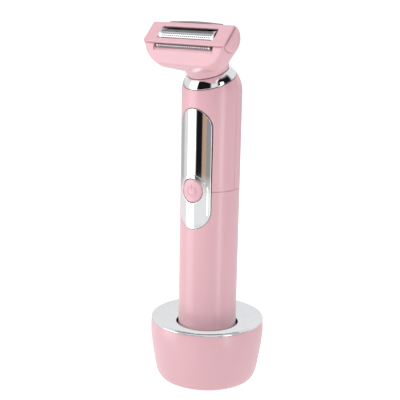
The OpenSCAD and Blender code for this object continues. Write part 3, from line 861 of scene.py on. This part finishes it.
# Lower shell: a full ring with a U-shaped notch in its top edge, and a floor with two pin holes
PIN_HOLE_R, FLOOR_T = 1.5, 1.8
low_cut = [(round_u(x), z) for x, z in arc(0, CUT_LOW + CUT_W, CUT_W, 360, 180, 48)]
columns = 96
flank = np.linspace(HALF_TURN, low_cut[0][0], 24)[:-1]
top_line = ([(u, SEAM_LOW) for u in flank] +
            [(low_cut[0][0], z) for z in np.linspace(SEAM_LOW, low_cut[0][1], 7)[:-1]] + low_cut +
            [(low_cut[-1][0], z) for z in np.linspace(low_cut[-1][1], SEAM_LOW, 7)[1:]] +
            [(-u, SEAM_LOW) for u in flank[::-1]])
FOOT_EDGE = 1.5
LOW_V = BODY_LOW + FOOT_EDGE
bottom_line = [(u, LOW_V) for u in np.linspace(-HALF_TURN, HALF_TURN, columns + 1)]
lower = Build()
top_in = inset(top_line, EDGE, False)
ladder = np.linspace(LOW_V, top_in[0][1], 46)[1:-1]
skin(lower, [once_round(bottom_line, ladder, top_in)], outside, (1.6, 2.2))
inner_low = BODY_LOW + FLOOR_T
inner_bottom = [(u, inner_low) for u, _ in bottom_line]
inner_ladder = np.linspace(inner_low, SEAM_LOW, 30)[1:-1]
skin(lower, [once_round(inner_bottom, inner_ladder, top_line)], within, (2.4, 5), True)
rim(lower, top_line, outside, on(within, top_line), EDGE, closed=False)


def floor_ring(r, z):
    ring = [(u / BODY_R) for u, _ in bottom_line[:-1]]
    return [(r * sin(a), -r * cos(a), z) for a in ring]


previous = None
for k in range(8):
    t = pi / 2 * k / 7
    r = BODY_R - FOOT_EDGE * (1 - cos(t))
    z = LOW_V - FOOT_EDGE * sin(t)
    pts = floor_ring(r, z)
    nrm = [(cos(t) * p[0] / r, cos(t) * p[1] / r, -sin(t)) for p in pts]
    if previous:
        strip(lower, pts, nrm, *previous)
    previous = (pts, nrm)
pin_x = abs(span("contact_pin_left")[0][0] + span("contact_pin_left")[1][0]) / 2
holes = [circle(x, 0, PIN_HOLE_R, 32, True) for x in (-pin_x, pin_x)]
floor = [(p[0], p[1]) for p in previous[0]]
skin(lower, [floor] + holes, lambda x, y: ((x, y, BODY_LOW), (0, 0, -1)), None, True)
ledge = floor_ring(BODY_R - WALL, inner_low)
skin(lower, [[(p[0], p[1]) for p in ledge]] + holes, lambda x, y: ((x, y, inner_low), (0, 0, 1)))
for loop, x0 in zip(holes, (-pin_x, pin_x)):
    inward = [((x0 - x) / PIN_HOLE_R, -y / PIN_HOLE_R, 0) for x, y in loop]
    strip(lower, [(x, y, BODY_LOW) for x, y in loop][::-1], inward[::-1],
          [(x, y, inner_low) for x, y in loop][::-1], inward[::-1])
piece("lower_shell", lower.mesh("lower_shell"), "satin_pink_shell", "handpiece",
      "lower_body_shell").visible_glossy = False

# Upper shells: front half with an arched notch, plain rear half
PARTING = (SEAM_HIGH - SEAM_LOW) / 2
quarter = HALF_TURN / 2 - PARTING


def half_shell(u0, u1, notch):
    tops = np.linspace(u1, u0, 49)
    bottoms = [(u, SEAM_HIGH) for u in np.linspace(u0, u1, 41)]
    if notch:
        crown = [(round_u(x), z) for x, z in arc(0, CUT_HIGH - CUT_W, CUT_W, 180, 0, 48)]
        run = np.linspace(u0, crown[0][0], 9)
        climb = np.linspace(SEAM_HIGH, crown[0][1], 18)
        bottoms = ([(u, SEAM_HIGH) for u in run[:-1]] + [(crown[0][0], z) for z in climb[:-1]] +
                   crown + [(crown[-1][0], z) for z in climb[-2::-1]] +
                   [(u0 + u1 - u, SEAM_HIGH) for u in run[-2::-1]])
    sides = np.linspace(0, 1, 24)[1:-1]
    right = [(u1, SEAM_HIGH + (collar_line(u1) - SEAM_HIGH) * t) for t in sides]
    left = [(u0, SEAM_HIGH + (collar_line(u0) - SEAM_HIGH) * t) for t in sides[::-1]]
    loop = bottoms + right + [(u, collar_line(u)) for u in tops] + left
    build = Build()
    skin(build, [inset(loop, EDGE)], outside, (1.5, 1.6))
    skin(build, [loop], within, (2.4, 3), True)
    rim(build, loop, outside, on(within, loop), EDGE)
    return build


piece("upper_front", half_shell(-quarter, quarter, True).mesh("upper_front"),
      "satin_pink_shell", "handpiece", "upper_front_shell")
piece("upper_rear", half_shell(HALF_TURN - quarter, HALF_TURN + quarter, False).mesh("upper_rear"),
      "satin_pink_shell", "handpiece", "upper_rear_shell")

# Collar: a chrome ring cut from the dome across the neck
bore = 9.9


def dome_r(z):
    return sqrt(BODY_R ** 2 - z ** 2)


collar_base = COLLAR_LOW + PARTING * 2
collar_side = [(dome_r(z), z) for z in np.linspace(collar_base + 0.12, COLLAR_TOP - 0.3, 14)]
collar_outline = ([(dome_r(collar_base) - 0.15, collar_base)] + collar_side +
                  arc(dome_r(COLLAR_TOP) - 0.22, COLLAR_TOP - 0.3, 0.3, 35, 90, 5) +
                  [(bore + 0.1, COLLAR_TOP)] +
                  [(bore, COLLAR_TOP - 0.1), (bore, COLLAR_LOW - 1.3),
                   (bore + 1.3, COLLAR_LOW - 1.3), (bore + 1.3, collar_base)])
piece("neck_collar", lathe(collar_outline, 192).mesh("neck_collar", NECK), "chrome_collar",
      "handpiece", "chrome_collar")

# ---- chrome panel and button ----


def front_of(r, outward=1):
    """The front of a cylinder, seen flat from -Y."""
    def at(x, z):
        y = -sqrt(r * r - x * x)
        return (x, y, z), (outward * x / r, outward * y / r, 0)
    return at


PANEL_INNER = 13.2
panel_edge = 0.3
loop_panel = dense(pill(PANEL_W, PANEL_LOW, PANEL_HIGH), 1.6)
loop_field = dense(pill(BEZEL_W, PANEL_LOW + 1, BUTTON_Z + BEZEL_W), 1.6)
loop_hole = circle(0, BUTTON_Z, BUTTON_R + 0.25, 96, True)
shrink = PANEL_INNER / PANEL_R
panel_back = front_of(PANEL_INNER, -1)
back_loop = [(x * shrink, z) for x, z in loop_panel]
field_edge = 0.4
panel = Build()
skin(panel, [inset(loop_panel, panel_edge), loop_field[::-1]], front_of(PANEL_R), (1.3, 3))
rim(panel, loop_panel, front_of(PANEL_R), on(panel_back, back_loop), panel_edge)
skin(panel, [inset(loop_field, field_edge), inset(loop_hole, 0.25)], front_of(FIELD_R), (1.3, 3))
rim(panel, loop_field, front_of(FIELD_R), on(front_of(PANEL_R), loop_field), field_edge)
rim(panel, loop_hole, front_of(FIELD_R), on(panel_back, loop_hole), 0.25)
skin(panel, [back_loop, loop_hole], panel_back, (2, 4), True)
piece("front_panel", panel.mesh("front_panel"), "chrome_panel", "handpiece", "chrome_front_panel")

ICON_H = 0.22
BUTTON_EDGE = 0.8
button = Build()
face = front_of(BUTTON_FACE)
icon_face = front_of(BUTTON_FACE + ICON_H)
loop_button = circle(0, BUTTON_Z, BUTTON_R, 96)
bar_w, bar_low, bar_high, icon_r = 0.3, BUTTON_Z + 0.7, BUTTON_Z + 2.9, 2.35
bar = rounded([(-bar_w, bar_low, bar_w), (bar_w, bar_low, bar_w),
               (bar_w, bar_high, bar_w), (-bar_w, bar_high, bar_w)], 5)
ring = (arc(0, BUTTON_Z, icon_r + bar_w, 122, 418, 40) +
        arc(*polar(0, BUTTON_Z, icon_r, 58), bar_w, 58, 238, 6)[1:-1] +
        arc(0, BUTTON_Z, icon_r - bar_w, 418, 122, 40) +
        arc(*polar(0, BUTTON_Z, icon_r, 122), bar_w, 302, 482, 6)[1:-1])
skin(button, [inset(loop_button, BUTTON_EDGE), bar[::-1], ring[::-1]], face, (0.9, 0.9))
for icon in (bar, ring):
    skin(button, [inset(icon, 0.05)], icon_face)
    rim(button, icon, icon_face, on(face, icon), 0.05, 2)
flange_front, flange_back, flange_r = -11.3, -10.3, BUTTON_R + BUTTON_FLANGE
rim(button, loop_button, face, [(x, flange_front, z) for x, z in loop_button], BUTTON_EDGE, 6)


def about_button(r, y, normal=None):
    pts = [(x * r / BUTTON_R, y, BUTTON_Z + (z - BUTTON_Z) * r / BUTTON_R) for x, z in loop_button]
    if normal:
        return pts, [normal] * len(pts)
    return pts, [(x / r, 0, (z - BUTTON_Z) / r) for x, _, z in pts]


strip(button, *about_button(flange_r, flange_front, (0, -1, 0)),
      *about_button(BUTTON_R, flange_front, (0, -1, 0)))
strip(button, *about_button(flange_r, flange_back), *about_button(flange_r, flange_front))
travel = max(joints["power_button_press"]["range_m"]) / MM
stem_r, stem_y = 1.5, span("tact_switch")[0][1] - travel - 0.05
strip(button, *about_button(stem_r, flange_back, (0, 1, 0)),
      *about_button(flange_r, flange_back, (0, 1, 0)))
strip(button, *about_button(stem_r, stem_y), *about_button(stem_r, flange_back))
skin(button, [circle(0, BUTTON_Z, stem_r, 96)], lambda x, z: ((x, stem_y, z), (0, 1, 0)),
     flip=True)
piece("push_button", button.mesh("push_button"), "pink_button", "button", "power_button")

# ---- head ----


FAR = 60     # further out than any part of the head


def hull_mesh(points):
    bm = bmesh.new()
    for p in points:
        bm.verts.new([c * MM for c in p])
    res = bmesh.ops.convex_hull(bm, input=bm.verts)
    hidden = [g for g in res["geom_interior"] if isinstance(g, bmesh.types.BMVert)]
    bmesh.ops.delete(bm, geom=hidden, context="VERTS")
    return to_mesh(bm, "hull")


def in_metres(matrix):
    """The same placement for a mesh whose points are already in metres."""
    scaled = matrix.copy()
    scaled.translation = matrix.translation * MM
    return scaled


def block(x, y, z, matrix=None, edge=0.0):
    """A closed box between limits, with slightly rounded edges if asked."""
    bm = bmesh.new()
    bmesh.ops.create_cube(bm, size=1)
    for v in bm.verts:
        v.co = Vector([(a[0] + a[1]) / 2 + c * (a[1] - a[0]) for a, c in zip((x, y, z), v.co)]) * MM
    if edge:
        bmesh.ops.bevel(bm, geom=bm.edges[:], offset=edge * MM, segments=3, profile=0.5,
                        affect="EDGES")
    if matrix:
        bm.transform(in_metres(matrix))
    return to_mesh(bm, "block")


def slab(low, high, matrix):
    """A block between two heights that reaches past the head on all sides."""
    return block((-FAR, FAR), (-FAR, FAR), (low, high), matrix)


def on_side(way, x, y, z):
    """A frame at a point in head axes, whose Z points out of the head's end."""
    out = rotation(90 * way, "Y")
    return HEAD @ Matrix.Translation((way * x, y, z)) @ out


# Outside: the CAD points above the neck, the rim and the swept crease at each end, in one hull
BELLY_LOW, NECK_TOP, HEAD_WALL = 14.0, 14.6, 1.4
DISC_R, DISC_Y, DISC_Z = 5.9, 0.3, -2.9
housing = node_points("head_housing")
neck_height = (np.array(NECK.inverted()) @ np.c_[housing, np.ones(len(housing))].T).T[:, 2]
belly = housing[neck_height > BELLY_LOW]
RIM_Z = -PLATE_T - 0.1
END_X = head_span("head_housing")[1][0]
rim_over, rim_rear = 1.0, 5.1
plate_turn = radians(PLATE_TILT)
rim_front = ((belly[:, 1].min() - HEAD.translation.y) + rim_over * sin(plate_turn)) / \
    cos(plate_turn)
extra = [HEAD @ Vector((x, y, rim_over)) for x in (-END_X, END_X) for y in (rim_front, rim_rear)]
CREASE = ((22.12, -23.35, 165), (21.6, -22.9, 163), (20.75, -22.05, 161), (19.4, -21.1, 159),
          (17.9, -19.1, 157), (16.8, -17.5, 155.5))
extra += [(way * x, y, z) for way in (-1, 1) for x, y, z in CREASE]
form = loose(hull_mesh([tuple(p) for p in belly] + [tuple(p) for p in extra]))
flange = lathe(rounded([(0, COLLAR_TOP + 0.15, 0), (10.1, COLLAR_TOP + 0.15, 0.3),
                        (11.15, NECK_TOP, 0.2), (0, NECK_TOP, 0)], 4), 96)
join(form, loose(flange.mesh("flange", NECK)), "UNION")
VOXEL = 0.42
mod = form.modifiers.new("even", "REMESH")
mod.mode, mod.voxel_size = "VOXEL", VOXEL * MM
mod = form.modifiers.new("soften", "SMOOTH")
mod.factor, mod.iterations = 0.5, 14
settle(form)

# Inside: a hull of the same points moved in by the wall, then the openings
CAVITY_X, CAVITY_TOP = 19.4, -3.3
CAVITY_LOW, NECK_BORE_R = 15.2, 7.25
POCKET_R, POCKET_X = 6.02, 20.4
core_points = [(v.co - v.normal * HEAD_WALL * MM) / MM for v in form.data.vertices]
to_neck = NECK.inverted()
core = hull_mesh([p for p in core_points if (to_neck @ p).z > 15.0])
head_mesh = form.data
bpy.data.objects.remove(form)
core = combine(core, [block((-CAVITY_X, CAVITY_X), (-50, 50), (-FAR, CAVITY_TOP), HEAD)],
               "INTERSECT")
core = combine(core, [slab(CAVITY_LOW, 80, NECK)], "INTERSECT")
tools = [core, slab(RIM_Z, 40, HEAD),
         block((-19.3, 19.3), (-4.8, 4.8), (-6, 6), HEAD),
         block((-17, 17), (-14, 14), (-3.2, 5), HEAD),
         lathe([(0, 8), (NECK_BORE_R, 8), (NECK_BORE_R, 18), (0, 18)], 96).mesh("bore", NECK)]
for way in (-1, 1):
    pocket = lathe(rounded([(0, 0, 0), (POCKET_R, 0, 0.15), (POCKET_R, 10, 0), (0, 10, 0)], 3), 96)
    tools.append(pocket.mesh("pocket", on_side(way, POCKET_X, DISC_Y, DISC_Z)))
head_mesh = combine(head_mesh, tools)
spigot_r, spigot_bore, spigot_low, spigot_high = 9.0, 7.2, 4.4, COLLAR_TOP + 0.8
groove_r, groove_low, groove_high = 7.95, 6.05, 7.15
spigot = lathe(rounded([(spigot_bore, spigot_low, 0), (spigot_r, spigot_low, 0.4),
                        (spigot_r, groove_low, 0), (groove_r, groove_low, 0),
                        (groove_r, groove_high, 0), (spigot_r, groove_high, 0),
                        (spigot_r, spigot_high, 0), (spigot_bore, spigot_high, 0)], 4), 96)
head_mesh = combine(head_mesh, [spigot.mesh("spigot", NECK)], "UNION")
smooth_by_angle(head_mesh, 38)
piece("head_shell", head_mesh, "satin_pink_head", "head", "head_housing")

# Release buttons: a crowned disc, hollow behind, with a stem for its spring
DISC_OUT = head_span("release_button_right")[1][0]
low, seat = 21.7, 22.9
crown = [(r, DISC_OUT - 0.75 * (r / DISC_R) ** 2.4 -
          0.16 * exp(-((r - 2.5) / 0.45) ** 2)) for r in np.linspace(5.15, 0, 26)]
disc_outline = ([(0, seat), (5.55, seat), (5.6, low + 0.1), (5.68, low), (DISC_R - 0.12, low),
                 (DISC_R, low + 0.2), (DISC_R, DISC_OUT - 1.45)] +
                arc(DISC_R - 0.65, DISC_OUT - 1.3, 0.65, 5, 70, 6) + crown)
stem_outline = rounded([(0, 18.5, 0), (1.15, 18.5, 0.2), (1.15, 23.1, 0), (0, 23.1, 0)], 3)
for way, name in ((-1, "left"), (1, "right")):
    disc = lathe(disc_outline, 128).mesh("disc", on_side(way, 0, DISC_Y, DISC_Z))
    stem = lathe(stem_outline, 48).mesh("stem", on_side(way, 0, 0, -6.3))
    disc = combine(disc, [stem], "UNION")
    disc = combine(disc, [slab(-PLATE_T - 0.2, 40, HEAD)])
    smooth_by_angle(disc, 38)
    piece("release_disc_" + name, disc, "satin_pink_head", "release_" + name,
          "release_button_" + name)

# Foil frame: a flat plate with a window and a tab under each end


def flat_at(z, outward=1):
    return lambda x, y: ((x, y, z), (0, 0, outward))


frame_loop = dense(rounded_rect(PLATE_L, PLATE_W, 0.9, 6), 4)
window_loop = dense(rounded_rect(WINDOW_L, WINDOW_W, 0.5, 5), 4)[::-1]
TAB_X = 18.2
plate_build = Build()
skin(plate_build, [inset(frame_loop, 0.35), inset(window_loop, 0.3)], flat_at(0))
rim(plate_build, frame_loop, flat_at(0), [(x, y, -PLATE_T) for x, y in frame_loop], 0.35)
rim(plate_build, window_loop, flat_at(0), [(x, y, -PLATE_T) for x, y in window_loop], 0.3)
skin(plate_build, [frame_loop, window_loop], flat_at(-PLATE_T, -1), None, True)
plate_mesh = combine(plate_build.mesh("cassette_frame", HEAD),
                     [block((x - 0.35, x + 0.35), (-3, 3), (-4.2, -PLATE_T + 0.3), HEAD)
                      for x in (-TAB_X, TAB_X)], "UNION")
smooth_by_angle(plate_mesh, 50)
piece("cassette_frame", plate_mesh, "satin_pink_head", "foil_cassette", "foil_frame")

# Foil: an arched sheet with a field of real holes on its front slope and slots over its crest
foil_lo, foil_hi = head_span("shaving_foil")
FOIL_R = foil_hi[1]
FOIL_Z = foil_hi[2] - FOIL_R
FOIL_X = foil_hi[0]
LEG = FOIL_Z - foil_lo[2]


def arched(r, outward=1):
    """Foil surface: x along it, v the arc length from the crest, then straight legs."""
    quarter_v = pi / 2 * FOIL_R

    def at(x, v):
        a = max(-pi / 2, min(pi / 2, v / FOIL_R))
        drop = max(0.0, abs(v) - quarter_v)
        n = (0.0, sin(a), cos(a))
        return (x, r * n[1], FOIL_Z + r * n[2] - drop), tuple(outward * c for c in n)
    return at


foil_reach = pi / 2 * FOIL_R + LEG
foil_loop = dense([(-FOIL_X, -foil_reach), (FOIL_X, -foil_reach), (FOIL_X, foil_reach),
                   (-FOIL_X, foil_reach)], 0.8)
FOIL_T, PITCH, PORE_R = 0.12, 1.15, 0.42
SLOT_PITCH, SLOT_HALF, SLOT_FRONT, SLOT_REAR = 0.75, 0.26, -0.45, 1.1
foil_holes = []
for j in range(5):
    v = -1.2 - j * PITCH * 0.866
    shift = 0.5 * PITCH * (j % 2)
    for i in range(-12, 12 + (1 - j % 2)):
        foil_holes.append(circle(i * PITCH + shift, v, PORE_R, 6, True))
for i in range(-19, 20):
    x0, x1 = i * SLOT_PITCH - SLOT_HALF, i * SLOT_PITCH + SLOT_HALF
    foil_holes.append([(x0, SLOT_FRONT), (x0, SLOT_REAR), (x1, SLOT_REAR), (x1, SLOT_FRONT)])
foil = Build()
foil_top, foil_under = arched(FOIL_R), arched(FOIL_R - FOIL_T, -1)
skin(foil, [foil_loop] + foil_holes, foil_top)
skin(foil, [foil_loop] + foil_holes, foil_under, None, True)
for loop in [foil_loop] + foil_holes:
    upper = on(foil_top, loop)
    lower_pts = on(foil_under, loop)
    walls = []
    for i, p in enumerate(upper):
        t = Vector(upper[(i + 1) % len(upper)]) - Vector(upper[i - 1])
        walls.append(t.cross(Vector(p) - Vector(lower_pts[i])).normalized())
    strip(foil, lower_pts, walls, upper, walls)
piece("perforated_foil", foil.mesh("perforated_foil", HEAD), "foil_steel", "foil_cassette",
      "shaving_foil")

# Front trimmer comb: a flat plate whose teeth bend down over the blade tips and face forwards
comb_lo, comb_hi = head_span("front_trimmer_comb")
COMB_X, COMB_TOP = comb_hi[0], -1.5
COMB_T, BEND, FACE = 0.25, 0.5, comb_lo[1] - 0.05
TOOTH, GAP, DROP = 1.2, 0.56, -3.05


def bent_sheet(y, z):
    """Outline of the bent sheet in (y, z), from its root to the tips of its teeth."""
    outer = arc(FACE + BEND, COMB_TOP - BEND, BEND, 90, 180, 6)
    inner = arc(FACE + BEND, COMB_TOP - BEND, BEND - COMB_T, 180, 90, 4)
    tip = arc(FACE + COMB_T / 2, z, COMB_T / 2, 180, 360, 6)
    return [(y, COMB_TOP - COMB_T), (y, COMB_TOP)] + outer + tip + inner


sheet = bent_sheet(comb_hi[1] - 0.1, DROP)
bm = bmesh.new()
rows = [[bm.verts.new(Vector((x, y, z)) * MM) for y, z in sheet] for x in (-COMB_X, COMB_X)]
bm.faces.new(rows[0])
bm.faces.new(rows[1][::-1])
for i in range(len(sheet)):
    j = (i + 1) % len(sheet)
    bm.faces.new((rows[0][j], rows[0][i], rows[1][i], rows[1][j]))
bmesh.ops.recalc_face_normals(bm, faces=bm.faces[:])
comb_mesh = to_mesh(bm, "front_comb")
bm = bmesh.new()
for i in range(-12, 12):
    x = (i + 0.5) * TOOTH
    slot = block((x - GAP / 2, x + GAP / 2), (FACE - 1, FACE + 1.7), (DROP - 2, COMB_TOP + 1),
                 edge=0.08)
    bm.from_mesh(slot)
    bpy.data.meshes.remove(slot)
comb_mesh = combine(comb_mesh, [to_mesh(bm, "slots")])
tabs = [block((x - 0.5, x + 0.5), (comb_hi[1] - 1.4, comb_hi[1]), (COMB_TOP - 0.2, -PLATE_T),
              edge=0.05) for x in (-COMB_X + 0.5, COMB_X - 0.5)]
comb_mesh = combine(comb_mesh, tabs, "UNION")
comb_mesh.transform(in_metres(HEAD))
smooth_by_angle(comb_mesh, 30)
piece("front_comb", comb_mesh, "comb_steel", "foil_cassette", "front_trimmer_comb")

# ---- floor, light and camera ----


def stage_material():
    mat = bpy.data.materials.new("stage_white")
    mat.use_nodes = True
    shader = mat.node_tree.nodes["Principled BSDF"]
    for key, value in (("Base Color", (0.9, 0.9, 0.9, 1)), ("Roughness", 1.0),
                       ("Specular IOR Level", 0.0), ("Emission Color", (1, 1, 1, 1)),
                       ("Emission Strength", 0.62)):
        socket(shader, key, value)
    return mat


FLOOR_R, BEND_R = 2600, 1400     # flat floor, then the curve up into the wall
sweep = [(0.001, 0.0)] + [(r, 0.0) for r in np.linspace(200, FLOOR_R, 8)]
sweep += [(FLOOR_R + BEND_R * sin(t), BEND_R * (1 - cos(t)))
          for t in np.linspace(0.1, pi / 2, 12)]
sweep += [(FLOOR_R + BEND_R, 3000), (FLOOR_R + BEND_R, 6000)]
backdrop = lathe(sweep[::-1], 96, False).mesh("backdrop")
backdrop_obj = add_object("backdrop", backdrop)
backdrop.materials.append(stage_material())
for ray in ("glossy", "diffuse", "transmission", "shadow"):
    setattr(backdrop_obj, "visible_" + ray, False)

CAMERA_TURN = 36.0


def studio():
    """Soft boxes and dark flags round the object, as bands by compass direction."""
    world = bpy.data.worlds.new("studio")
    world.use_nodes = True
    bpy.context.scene.world = world
    g = Graph(world.node_tree)
    parts = g.node("SeparateXYZ")
    g.link(g.node("TexCoord").outputs["Generated"], parts.inputs[0])
    x, y, z = parts.outputs
    compass = g.math("ARCTAN2", x, g.math("MULTIPLY", y, -1.0))
    turn = g.math("FRACT", g.math("ADD", g.math("DIVIDE", compass, 2 * pi),
                                  1.5 - CAMERA_TURN / 360))

    def ramp(bands):
        """Colours at angles to the right of the camera, as seen from the object."""
        n = g.node("ValToRGB")
        points = n.color_ramp.elements
        while len(points) < len(bands):
            points.new(0.5)
        for point, (angle, colour) in zip(points, bands):
            point.position = (angle + 180) / 360
            point.color = (*colour, 1)
        g.link(turn, n.inputs["Fac"])
        return n.outputs["Color"]

    def above(low, high, under, over):
        """Blends from one colour to another between two heights on the sphere."""
        return g.mix(g.remap(z, 0, 1, low, high), under, over)

    light, black, white = (0.85, 0.86, 0.87), (0.015, 0.015, 0.02), (1.4, 1.4, 1.42)
    card, ground = (1.42, 1.42, 1.44), (1.5, 1.5, 1.51)
    level = ramp([(-180, white), (-168, white), (-160, light), (-124, light), (-114, white),
                  (-60, white), (-56, black), (-35, black), (-31, (0.86, 0.58, 0.40)),
                  (-19, (0.92, 0.64, 0.44)), (-15, (0.52, 0.52, 0.53)), (-2, (0.55, 0.55, 0.56)),
                  (3, light), (30, light), (35, white), (50, white), (55, (0.50, 0.50, 0.51)),
                  (88, (0.55, 0.55, 0.56)), (96, light), (160, light), (168, white), (180, white)])
    high = ramp([(-180, card), (-64, card), (-58, black), (-8, black), (-1, card), (20, card),
                 (27, black), (88, black), (102, card), (180, card)])
    walls = above(0.03, 0.10, level, high)
    room = above(0.70, 0.82, walls, card)
    room = above(-0.228, -0.205, ground, room)
    g.feed(world.node_tree.nodes["Background"], {"Color": room, "Strength": 0.6})


studio()


def round_object(turn, distance, height):
    """A place in metres at a compass direction from the object, 0 being the button side."""
    a = radians(turn)
    return Vector((distance * sin(a), -distance * cos(a), height))


def soft_box(name, turn, height, distance, size, power):
    """A rectangular area lamp aimed at the object, not seen by the camera."""
    lamp = bpy.data.lights.new(name, "AREA")
    lamp.shape = "RECTANGLE"
    lamp.size, lamp.size_y = size
    lamp.energy = power
    obj = add_object(name, lamp)
    obj.location = round_object(turn, distance, height)
    aim = Vector((0, 0, 0.09)) - obj.location
    obj.rotation_euler = aim.to_track_quat("-Z", "Y").to_euler()
    obj.visible_camera = False
    return obj


soft_box("left_box", CAMERA_TURN - 78, 0.2, 1.0, (0.65, 1.2), 4.5)
soft_box("right_strip", CAMERA_TURN + 42, 0.2, 1.0, (0.28, 1.2), 3)
soft_box("top_box", CAMERA_TURN - 30, 1.2, 0.7, (0.7, 0.7), 2.5).visible_glossy = False

CAMERA_OUT, CAMERA_UP = 0.4305, 0.1934             # metres
CAMERA_PAN, CAMERA_DIP, CAMERA_ROLL = 0.632, 13.415, 1.124    # degrees
camera = bpy.data.cameras.new("camera")
camera.lens, camera.sensor_width, camera.clip_end = 81.24, 36, 50
camera_obj = add_object("camera", camera)
camera_obj.matrix_world = (
    Matrix.Translation(round_object(CAMERA_TURN, CAMERA_OUT, CAMERA_UP)) @
    rotation(CAMERA_TURN + CAMERA_PAN, "Z") @
    rotation(90 - CAMERA_DIP, "X") @
    rotation(CAMERA_ROLL, "Z"))
bpy.context.scene.camera = camera_obj
bpy.context.scene.view_settings.view_transform = "Standard"
